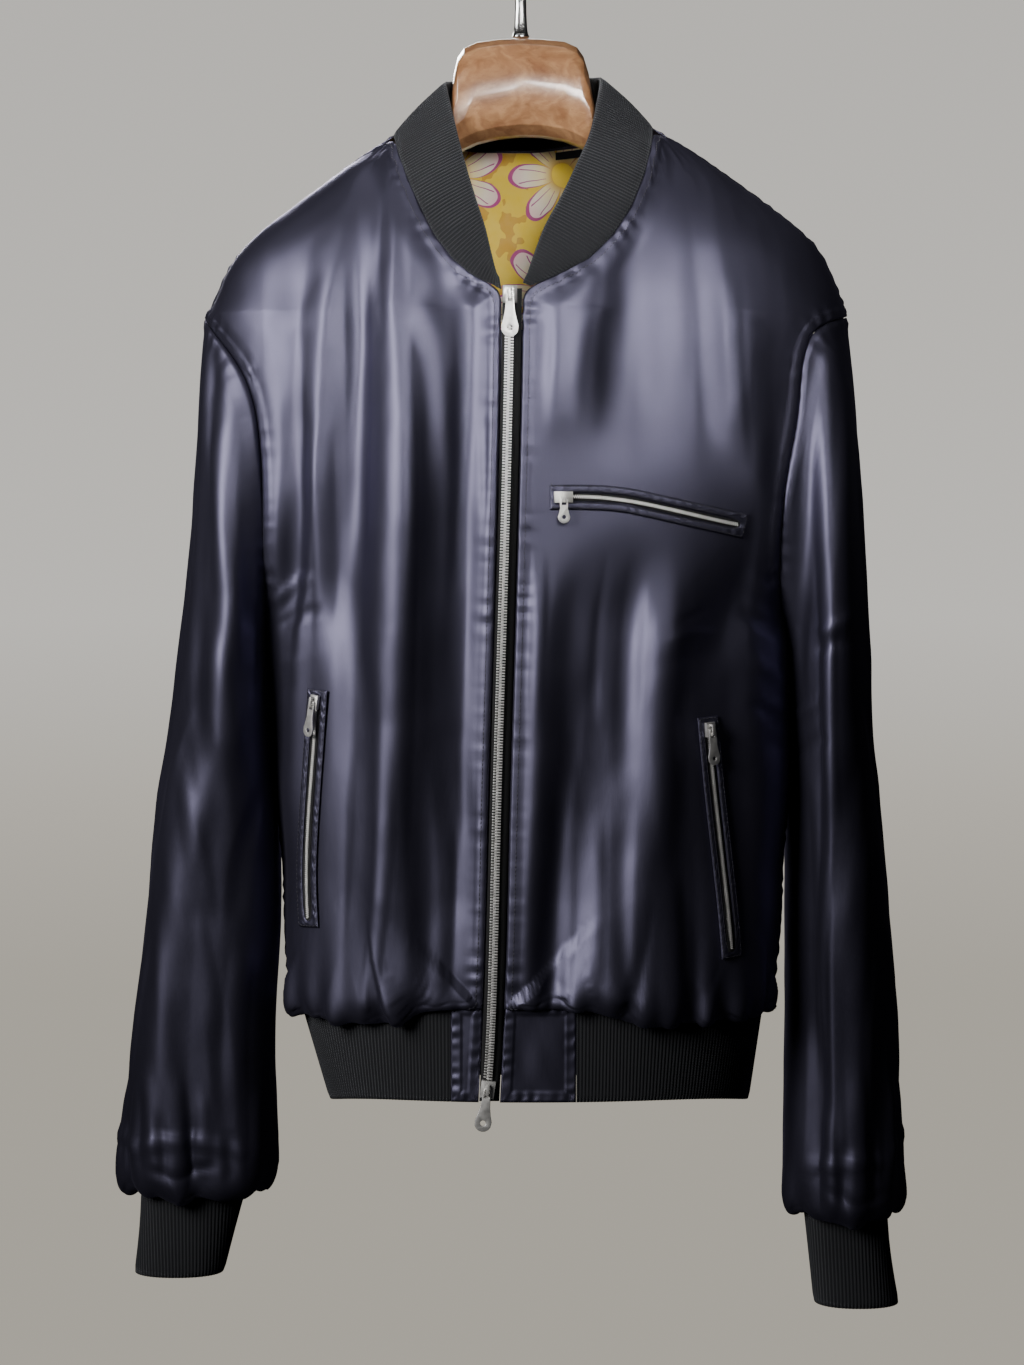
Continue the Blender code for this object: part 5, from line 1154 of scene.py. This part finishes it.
def make_panel(node):
    look = settings("jacket_satin")
    cloth = Cloth(f"{node}_satin", node, finish_of("satin"), CAD_WALL, look.detail, CENTRES.get(node, MIDDLE))
    share = look.fold_share
    facing = fade(-cloth.points[:, 1] if node != "back" else cloth.points[:, 1], -0.02, 0.02)
    if node.startswith("front"):
        heights = cloth.strokes(FOLDS[node], FROM_FRONT)
    elif node == "back":
        heights = cloth.strokes(FOLDS[node], FROM_BACK)
    else:
        heights = cloth.strokes(FOLDS[node], FROM_FRONT) * facing
        heights += cloth.strokes(FOLDS[node], FROM_BACK) * (1 - facing) * 0.9
        heights += cloth.strokes(SIDE_FOLDS, FROM_LEFT if node.endswith("left") else FROM_RIGHT)
    x, z = np.abs(cloth.points[:, 0] - MIDDLE.x), cloth.points[:, 2]
    lined = fade(x, 0.150, 0.118) * fade(z, -0.335, -0.300) * (node == "back")  # no hollows over the lining
    if not node.startswith("sleeve"):  # the side seams swell towards the sleeves
        cloth.raised(SIDE_SWELL * fade(x, 0.145, 0.170) * fade(z, -0.36, -0.44) * fade(z, -0.66, -0.58))
    calm = pocket_calm(cloth, node)
    if node in DRAPES:
        cloth.raised(drape(cloth, DRAPES[node]) * facing * calm * look.drape_share)
    cloth.raised(np.where(heights < 0, heights * (1 - lined), heights) * share * calm)
    soft = waves(cloth.points * (1, 1, 0.30), (0.055, 0.085, 0.130), 0.0010, SEED + len(node))
    small = waves(cloth.points * (1, 1, 0.5), (0.014, 0.022), 0.00010, SEED + 5)
    soft = np.where(soft < 0, soft * (1 - lined), soft)
    cloth.raised((soft + small) * fade(cloth.edge, 0.0, 0.016) * calm)
    cloth.raised(seam_puckers(cloth, 0.0007, 0.011, 0.016) + seam_ridge(cloth))
    swell, drop = gathers(cloth, node)
    cloth.points[:, 2] -= drop
    cloth.raised(swell)
    CLOTHS[node] = cloth
    return cloth


class JACKET_OT_satin_panels(bpy.types.Operator):
    """The fronts, the back and the sleeves, folded and sewn"""
    bl_idname = "jacket.satin_panels"
    bl_label = "Satin panels"

    def execute(self, context):
        for node, (width, length, area) in FLAT.items():
            cloth = make_panel(node)
            piece = walled(cloth.piece, settings("jacket_satin").wall)
            placed(piece, "satin", node)
            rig.sheet(piece, flat=(width, length), area=area, held="hung", rests_on=["hanger"])
        return {"FINISHED"}


# ---------------------------------------------------------------- rib bands
# Flat length and height of each rib band.
BANDS = {"collar": (0.490, 0.056), "hem_rib": (0.800, 0.063),
         "cuff_left": (0.205, 0.063), "cuff_right": (0.205, 0.063)}
RIB_POINTS, BAND_ROWS = 6, 15  # points across one rib, and rows of points over a band's height
RIB_SUNK = 0.6  # share of a rib's height that lies within the solid's wall


def long_sides(work, middle=0):
    """The two long borders of a band, index by index. middle is the number of points between the
    corners of an open band's short ends."""
    loops = [np.array([v.co for v in loop]) for loop in border_loops(work)]
    if len(loops) == 1:
        loop, best = loops[0], None
        count = len(loop) // 2 - middle
        for start in range(len(loop)):
            turned = np.roll(loop, -start, axis=0)
            pair = turned[:count], turned[count + middle:2 * count + middle][::-1]
            ways = [unit(np.diff(line, axis=0)) for line in pair]
            apart = np.linalg.norm(ways[0] - ways[1], axis=1).sum()
            if best is None or apart < best[0]:
                best = apart, pair
        first, second = best[1]
    else:
        first, second = loops[:2]
        hub = first.mean(axis=0)
        angle = [np.argmin(np.arctan2(*(loop - hub)[:, :2].T)) for loop in (first, second)]
        first, second = (np.roll(loop, -n, axis=0) for loop, n in zip((first, second), angle))
        turns = [np.sum(np.cross(loop - hub, np.roll(loop, -1, axis=0) - hub)[:, 2])
                 for loop in (first, second)]
        if turns[0] * turns[1] < 0:
            second = np.roll(second[::-1], 1, axis=0)
        first, second = (np.concatenate([loop, loop[:1]]) for loop in (first, second))
    return first, second, len(loops) == 2


def band_grid(node, look):
    """An even grid over the inner face of a band's solid, moved out to where the knit's own face runs.
    Returns the points and ways as rows, the ribs, both lengths, the height and whether the band is closed."""
    inner = wall_side(node, False, CENTRES.get(node.replace("cuff", "sleeve"), MIDDLE))
    first, second, closed = long_sides(inner, 1 if node == "collar" else 0)
    if first[:, 2].mean() < second[:, 2].mean():
        first, second = second, first
    target = subdivided(linked(f"{node}_inner", mesh_of(f"{node}_inner", inner)), 2)
    faces = [tuple(p.vertices) for p in target.data.polygons]
    tree = BVHTree.FromPolygons([Vector(p) for p in coordinates(target.data)], faces)
    bpy.data.objects.remove(target)
    lengths = length_along(first), length_along(second)
    ribs = max(8, round(sum(lengths) / 2 / look.pitch))
    count = ribs * RIB_POINTS + 1
    top, bottom = even(first, count)[0], even(second, count)[0]
    near = [tree.find_nearest(Vector(point)) for share in np.linspace(0, 1, BAND_ROWS)
            for point in top + (bottom - top) * share]
    points = np.array([place for place, _, _, _ in near]).reshape(BAND_ROWS, count, 3)
    ways = np.array([-way for _, way, _, _ in near]).reshape(BAND_ROWS, count, 3)
    for _ in range(6):
        for grid in (ways, points):
            grid[:, 1:-1] = grid[:, 1:-1] * 0.5 + (grid[:, :-2] + grid[:, 2:]) * 0.25
    ways = unit(ways)
    points = points + ways * (look.wall - look.height * RIB_SUNK)
    return points, ways, ribs, lengths, np.linalg.norm(top - bottom, axis=1).mean(), closed


def make_band(node):
    """A rib band: the grid, closed or open, given its wall and ribbed along its outer face."""
    look = settings("jacket_rib")
    points, ways, ribs, lengths, height, closed = band_grid(node, look)
    rows, count = points.shape[:2]
    along = np.linspace(0, ribs * look.pitch, count)
    across = np.linspace(0, height, rows)
    grid = np.arange(rows * count).reshape(rows, count)
    quads = [(grid[r, c], grid[r, c + 1], grid[r + 1, c + 1], grid[r + 1, c])
             for r in range(rows - 1) for c in range(count - 1)]
    a, b = points[0, 1] - points[0, 0], points[1, 0] - points[0, 0]
    if np.cross(a, b) @ ways[0, 0] < 0:
        quads = [face[::-1] for face in quads]
    piece = object_of(f"{node}_knit", points.reshape(-1, 3), [tuple(map(int, q)) for q in quads],
                      finish_of("rib"))
    if closed:
        weld = piece.modifiers.new("Seam", "WELD")
        weld.merge_threshold = 2e-5
    attribute(piece.data, "along", np.tile(along, rows))
    ends = np.minimum(np.arange(rows), np.arange(rows)[::-1])[:, None] * np.ones(count)
    attribute(piece.data, "soft", fade(ends, -0.6, 1.2).ravel())
    uv_map(piece.data, "Knit", np.stack([np.tile(along, rows), np.repeat(across, count)], axis=1))
    piece = walled(piece, look.wall - look.height * RIB_SUNK)
    soft = np.empty(len(piece.data.vertices), np.float32)
    piece.data.attributes["soft"].data.foreach_get("value", soft)
    soft[len(soft) // 2:] = 0.0  # the inner face stays plain
    piece.data.attributes["soft"].data.foreach_set("value", soft)
    piece = grown(piece, rib_tree, Pitch=look.pitch, Height=look.height, Material=finish_of("rib"))
    piece.data.shade_smooth()
    placed(piece, "rib", node)
    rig.sheet(piece, flat=(max(*lengths, BANDS[node][0]), BANDS[node][1]),
             held="folded" if node == "collar" else "stretched", rests_on=["hanger"])


class JACKET_OT_rib_bands(bpy.types.Operator):
    """Collar, hem band and cuffs in rib knit"""
    bl_idname = "jacket.rib_bands"
    bl_label = "Rib bands"

    def execute(self, context):
        for node in BANDS:
            make_band(node)
        return {"FINISHED"}


# ---------------------------------------------------------------- zips
def tooth(name, reach, high, long, made_of):
    """One zip tooth: a shank from the tape and a rounded head past the middle. X runs along the zip."""
    def trim(x, y, z):
        return (x * (1.0 if y > reach * 0.5 else 0.72), y, z * (1.0 if y > reach * 0.5 else 0.8))
    return block(name, (-long / 2, -reach * 0.30, -high * 0.35), (long / 2, reach, high * 0.65),
                 high * 0.20, 2, made_of, trim)


MAIN_TOOTH, POCKET_TOOTH = (0.0030, 0.0016, 0.00125), (0.0012, 0.0008, 0.0009)  # reach, height, length
SLIDER_ROUNDING, PULL_ROUNDING = 0.00045, 0.00035
POCKET_ZIPS = ("chest_pocket_zip", "side_pocket_left_zip", "side_pocket_right_zip")
SLIDERS = ("zip_slider_top", "zip_slider_bottom", "chest_slider", "side_pocket_left_slider",
           "side_pocket_right_slider")
PULLS = {"zip_pull_top": "pull_top_body", "zip_pull_bottom": "pull_bottom_body",
         "chest_pull": "pull_chest_body", "side_pocket_left_pull": "pull_left_body",
         "side_pocket_right_pull": "pull_right_body"}


class JACKET_OT_zips(bpy.types.Operator):
    """Teeth, tapes, sliders and pulls of the main zip and the three pockets"""
    bl_idname = "jacket.zips"
    bl_label = "Zips"

    def execute(self, context):
        look = settings("jacket_zip")
        metal, tape = finish_of("metal"), finish_of("tape")
        line, ways = spine("zip_chain", 7, 400)
        line = line - ways * 0.0005
        small = tooth("one_tooth", *MAIN_TOOTH, metal)
        teeth = along_lines("zip_teeth", [(line, ways)], small, look.main_pitch / 2, metal, math.pi)
        placed(teeth, "metal", "zip_chain")
        for node in POCKET_ZIPS:
            line, ways = spine(node, 3, 120)
            strip = fine_copy(f"{node}_tape", node, tape, 0.0002, 2)
            placed(strip, "tape", node)
            line = line[2:-2] - ways[2:-2] * 0.0001
            small = tooth("one_tooth", *POCKET_TOOTH, metal)
            teeth = along_lines(f"{node}_teeth", [(line, ways[2:-2])], small, look.pocket_pitch / 2, metal,
                                math.pi)
            placed(teeth, "metal")
        for node in ("zip_tape_left", "zip_tape_right"):
            placed(fine_copy(f"{node}_woven", node, tape, 0.0), "tape", node)
        for node in SLIDERS:
            placed(fine_copy(f"{node}_metal", node, metal, SLIDER_ROUNDING), "metal", node)
        for node, body in PULLS.items():
            placed(fine_copy(f"{node}_metal", node, metal, PULL_ROUNDING), "metal", node, body=body)
        return {"FINISHED"}


# ---------------------------------------------------------------- pockets and hem tabs
def welt_puff(cloth, width, height):
    """The padded roll of a welt between its outer and its inner border."""
    return height * np.sin(np.clip(cloth.edge / width, 0, 1) * math.pi / 2) ** 0.8


# The size that each welt and hem end was cut to: width, length and flat area.
WELTS = {"chest_pocket_frame": (0.142, 0.014, 0.0015), "side_pocket_left_frame": (0.176, 0.014, 0.0019),
         "side_pocket_right_frame": (0.166, 0.014, 0.0016)}
TABS = {"hem_tab_left": (0.022, 0.067, 0.00138), "hem_tab_right": (0.051, 0.067, 0.00334)}
WELT_WALL, TAB_WALL = 0.0010, 0.0012


def finish_trim(cloth, name, wall, cut, rests_on):
    width, length, area = cut
    piece = placed(walled(cloth.piece, wall), "satin", name)
    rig.sheet(piece, flat=(width, length), area=area, held="folded", rests_on=[rests_on])
    CLOTHS[name] = cloth


class JACKET_OT_trims(bpy.types.Operator):
    """Pocket welts and the satin ends of the hem"""
    bl_idname = "jacket.trims"
    bl_label = "Welts and hem ends"

    def execute(self, context):
        for node, cut in WELTS.items():
            cloth = Cloth(f"{node}_welt", node, finish_of("satin"), None, 4)
            cloth.raised(welt_puff(cloth, 0.0022, 0.0009) - 0.0004)
            cloth.raised(seam_puckers(cloth, 0.0003, 0.008, 0.006))
            finish_trim(cloth, node, WELT_WALL, cut, node.replace("frame", "zip"))
        for node, cut in TABS.items():
            cloth = Cloth(f"{node}_satin", node, finish_of("satin"), None, 5)
            cloth.raised(waves(cloth.points * (1.6, 1, 0.4), (0.016, 0.024, 0.040), 0.0006, SEED + 2)
                         * fade(cloth.edge, 0.0, 0.006))
            cloth.raised(seam_puckers(cloth, 0.0005, 0.009, 0.010) + seam_ridge(cloth))
            finish_trim(cloth, node, TAB_WALL, cut, "hem_rib")
        return {"FINISHED"}


# ---------------------------------------------------------------- topstitching
STITCH_STEP = 0.002  # between the points that a row of stitches is laid through
COLLAR_INSET, ZIP_INSET, WELT_INSET = 0.0062, 0.0050, 0.0013


def stitch_line(cloth, neighbour, inset, reach):
    """Lines on the cloth, a set way in from where its border runs along a neighbour."""
    near = solid_tree(neighbour)
    tree = cloth.tree()
    made = []
    for loop in cloth.loops:
        line = cloth.points[loop]
        close = np.array([near.find_nearest(Vector(p), reach)[0] is not None for p in line])
        if close.all():
            runs = [np.arange(len(loop))]
        else:
            start = int(np.argmin(close))
            order = np.roll(np.arange(len(loop)), -start)
            runs = np.split(order, np.flatnonzero(np.diff(close[order].astype(int))) + 1)
            runs = [run for run in runs if close[run].all() and len(run) > 12]
        for run in runs:
            at = even(line[run], max(2, int(round(length_along(line[run]) / STITCH_STEP)) + 1))[0]
            _, ways = onto(tree, at)
            ahead = unit(np.gradient(at, axis=0))
            inward = np.cross(ways, ahead)
            points, ways = onto(tree, smoothed(at + inward * inset, 4), 0.0001)
            made.append((points, ways))
    return made


class JACKET_OT_topstitching(bpy.types.Operator):
    """Rows of stitches beside the zip, the collar and on the welts"""
    bl_idname = "jacket.topstitching"
    bl_label = "Topstitching"

    def execute(self, context):
        look = settings("jacket_stitching")
        lines = []
        for node in ("front_left", "front_right", "back"):
            lines += stitch_line(CLOTHS[node], "collar", COLLAR_INSET, 0.0075)
        for side in ("left", "right"):
            lines += stitch_line(CLOTHS[f"front_{side}"], f"zip_tape_{side}", ZIP_INSET, 0.010)
        for node in WELTS:
            lines += stitch_line(CLOTHS[node], node, WELT_INSET, 0.010)
        thread = finish_of("thread")
        small = block("one_stitch", (-0.36 * look.pitch, -0.00022, -0.00012),
                      (0.36 * look.pitch, 0.00022, 0.00022), 0.0001, 1, thread)
        placed(along_lines("topstitching", lines, small, look.pitch, thread), "satin")
        return {"FINISHED"}


# ---------------------------------------------------------------- lining, loop, hanger and hook
LINING_WALL, LINING_FLAT, LINING_AREA = 0.0010, (0.205, 0.128), 0.021
LINING_RIPPLE = 0.0009  # the ripples only stand into the neck, clear of the back panel


class JACKET_OT_neck_lining(bpy.types.Operator):
    """Printed lining inside the back of the neck, and the hanging loop"""
    bl_idname = "jacket.neck_lining"
    bl_label = "Neck lining"

    def execute(self, context):
        mesh = mesh_of("lining_print", wall_side("back_lining", False), finish_of("print"))
        piece = subdivided(linked("lining_print", mesh), 3)
        mesh = piece.data
        points, ways = coordinates(mesh), normals(mesh)
        ripples = waves(points * (1, 1, 0.4), (0.020, 0.032, 0.055), LINING_RIPPLE, SEED) + LINING_RIPPLE
        points = points + ways * ripples[:, None]
        moved(mesh, points)
        uv_map(mesh, "Print", points[:, ::2])
        piece = walled(piece, LINING_WALL)
        placed(piece, "print", "back_lining")
        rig.sheet(piece, flat=LINING_FLAT, area=LINING_AREA, held="hung", rests_on=["hanger"])
        placed(fine_copy("hang_loop_tape", "hang_loop", finish_of("tape"), 0.0003, 2), "tape", "hang_loop")
        return {"FINISHED"}


class JACKET_OT_hanger(bpy.types.Operator):
    """The varnished wooden hanger and its steel hook"""
    bl_idname = "jacket.hanger"
    bl_label = "Hanger"

    def execute(self, context):
        placed(fine_copy("hanger_wood", "hanger", finish_of("wood"), 0.0008, 3, 24), "wood", "hanger")
        placed(fine_copy("hook_steel", "hook", finish_of("steel"), 0.0, levels=2), "steel", "hook")
        return {"FINISHED"}


# ---------------------------------------------------------------- stage
FLOOR_LEVEL, WALL_AWAY = -1.30, 4.8  # height of the floor, and distance of the round wall
# Name, setting, size, place, spread in degrees and aim of each lamp.
LAMPS = (("key_light", "key", (0.6, 0.9), (-1.00, -1.12, 0.04), 80, (0.0, 0.0, -0.46)),
         ("neck_light", "neck", (0.4, 0.3), (0.22, -1.40, 0.06), 24, (0.0, 0.05, -0.18)),
         ("back_light", "back", (0.9, 0.9), (-0.35, 2.0, 0.55), 70, (0.0, 0.0, -0.40)),
         ("top_light", "top", (1.2, 0.8), (0.0, 0.1, 1.9), 120, (0.0, 0.0, -0.40)))
CAMERA_AT, CAMERA_DOWN, CAMERA_LENS = (-0.006, -1.9, -0.436), 2.6, 71.6


def make_paper(look):
    """Pale floor, wall and ceiling in one turned sweep round the object. The sweep glows as painted light, with
    painted shade that darkens it towards the floor and a little towards the top.
    """
    s = Nodes("Pale paper", Roughness=0.9, Specular_IOR_Level=0.0, Base_Color=(0, 0, 0, 1),
              Emission_Strength=1.0)
    _, _, z = s.node("ShaderNodeSeparateXYZ", {0: s.place()}).outputs
    color = np.array(look.color)
    # painted shade: the glow is dimmest and warmest at the floor, full from mid height, and a little dimmer towards
    # the top
    level = s.node("ShaderNodeMapRange", {"Value": z, "From Min": FLOOR_LEVEL, "From Max": 1.7}).outputs[0]
    s.join(Emission_Color=s.ramp(level, ((0.0, color * (0.67, 0.65, 0.60)),
                                         (0.10, color * (0.80, 0.78, 0.74)),
                                         (0.24, color), (0.9, color * 0.88))))
    bend, rise, dome = 1.2, 2.4, 2.0  # radius at the floor's edge, top of the wall, height of the ceiling
    profile = [(0.0, FLOOR_LEVEL), (WALL_AWAY - bend, FLOOR_LEVEL)]
    profile += [(WALL_AWAY - bend + bend * math.sin(t), FLOOR_LEVEL + bend - bend * math.cos(t))
                for t in np.linspace(0, math.pi / 2, 9)[1:]]
    profile += [(WALL_AWAY, rise)]
    profile += [(WALL_AWAY * math.cos(t), rise + dome * math.sin(t))
                for t in np.linspace(0, math.pi / 2, 7)[1:-1]]
    profile += [(0.0, rise + dome)]
    sides = 64
    points = [(r * math.cos(t), r * math.sin(t), z) for r, z in profile
              for t in np.linspace(0, 2 * math.pi, sides, endpoint=False)]
    faces = [(sides * n + k, sides * n + sides + k, sides * n + sides + (k + 1) % sides,
              sides * n + (k + 1) % sides) for n in range(len(profile) - 1) for k in range(sides)]
    sweep = object_of("paper_sweep", points, faces, s.material)
    # the paper is only a backdrop: the lamps alone light the object
    sweep.visible_diffuse = sweep.visible_glossy = sweep.visible_shadow = False
    sweep.visible_transmission = sweep.visible_volume_scatter = False
    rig.stage(sweep)


def make_lamps(look):
    for name, setting, size, at, spread, aim in LAMPS:
        light = bpy.data.lights.new(name, "AREA")
        light.shape, light.size, light.size_y = "RECTANGLE", *size
        light.energy, light.color = getattr(look, setting), (1.0, 0.985, 0.965)
        light.spread = math.radians(spread)
        lamp = linked(name, light)
        lamp.location = at
        lamp.rotation_euler = (Vector(aim) - lamp.location).to_track_quat("-Z", "Y").to_euler()
    world = bpy.context.scene.world or bpy.data.worlds.new("Soft room")
    bpy.context.scene.world = world
    world.use_nodes = True
    back = world.node_tree.nodes["Background"]
    back.inputs["Color"].default_value = (0.95, 0.96, 1.0, 1.0)
    back.inputs["Strength"].default_value = look.ambient


def make_camera():
    view = bpy.data.cameras.new("photo_view")
    view.lens, view.sensor_width, view.clip_end = CAMERA_LENS, 36.0, 30.0
    camera = linked("photo_view", view)
    camera.location = CAMERA_AT
    camera.rotation_euler = (math.radians(90 - CAMERA_DOWN), 0.0, 0.0)
    bpy.context.scene.camera = camera


class JACKET_OT_stage(bpy.types.Operator):
    """Pale floor and wall in one sweep that glows as painted light, soft lights and the camera"""
    bl_idname = "jacket.stage"
    bl_label = "Stage"

    def execute(self, context):
        look = settings("jacket_stage")
        make_paper(look)
        make_lamps(look)
        make_camera()
        return {"FINISHED"}


SETTINGS = {"jacket_satin": JacketSatin, "jacket_rib": JacketRib, "jacket_zip": JacketZip,
            "jacket_hanger": JacketHanger, "jacket_stitching": JacketStitching, "jacket_stage": JacketStage}
STEPS = (JACKET_OT_satin_panels, JACKET_OT_rib_bands, JACKET_OT_zips, JACKET_OT_trims, JACKET_OT_topstitching,
         JACKET_OT_neck_lining, JACKET_OT_hanger, JACKET_OT_stage)


class JACKET_PT_panel(bpy.types.Panel):
    """Lists the settings and the steps"""
    bl_idname = "JACKET_PT_panel"
    bl_label = "Jacket"
    bl_space_type = "VIEW_3D"
    bl_region_type = "UI"
    bl_category = "Jacket"

    def draw(self, context):
        for name, group in SETTINGS.items():
            box = self.layout.box()
            box.label(text=group.__name__)
            for key in group.__annotations__:
                box.prop(getattr(context.scene, name), key)
        for step in STEPS:
            self.layout.operator(step.bl_idname)


CLASSES = (*SETTINGS.values(), *STEPS, JACKET_PT_panel)


def register():
    for each in CLASSES:
        bpy.utils.register_class(each)
    for name, group in SETTINGS.items():
        setattr(bpy.types.Scene, name, PointerProperty(type=group))


def unregister():
    for name in SETTINGS:
        delattr(bpy.types.Scene, name)
    for each in reversed(CLASSES):
        bpy.utils.unregister_class(each)


def main():
    register()
    for step in STEPS:
        prefix, name = step.bl_idname.split(".")
        getattr(getattr(bpy.ops, prefix), name)()
    with open("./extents.json", "w") as out:
        json.dump({"cad": CAD_BOX, "visual": [list(corner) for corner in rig.bounds()]}, out)


if __name__ == "__main__":
    main()
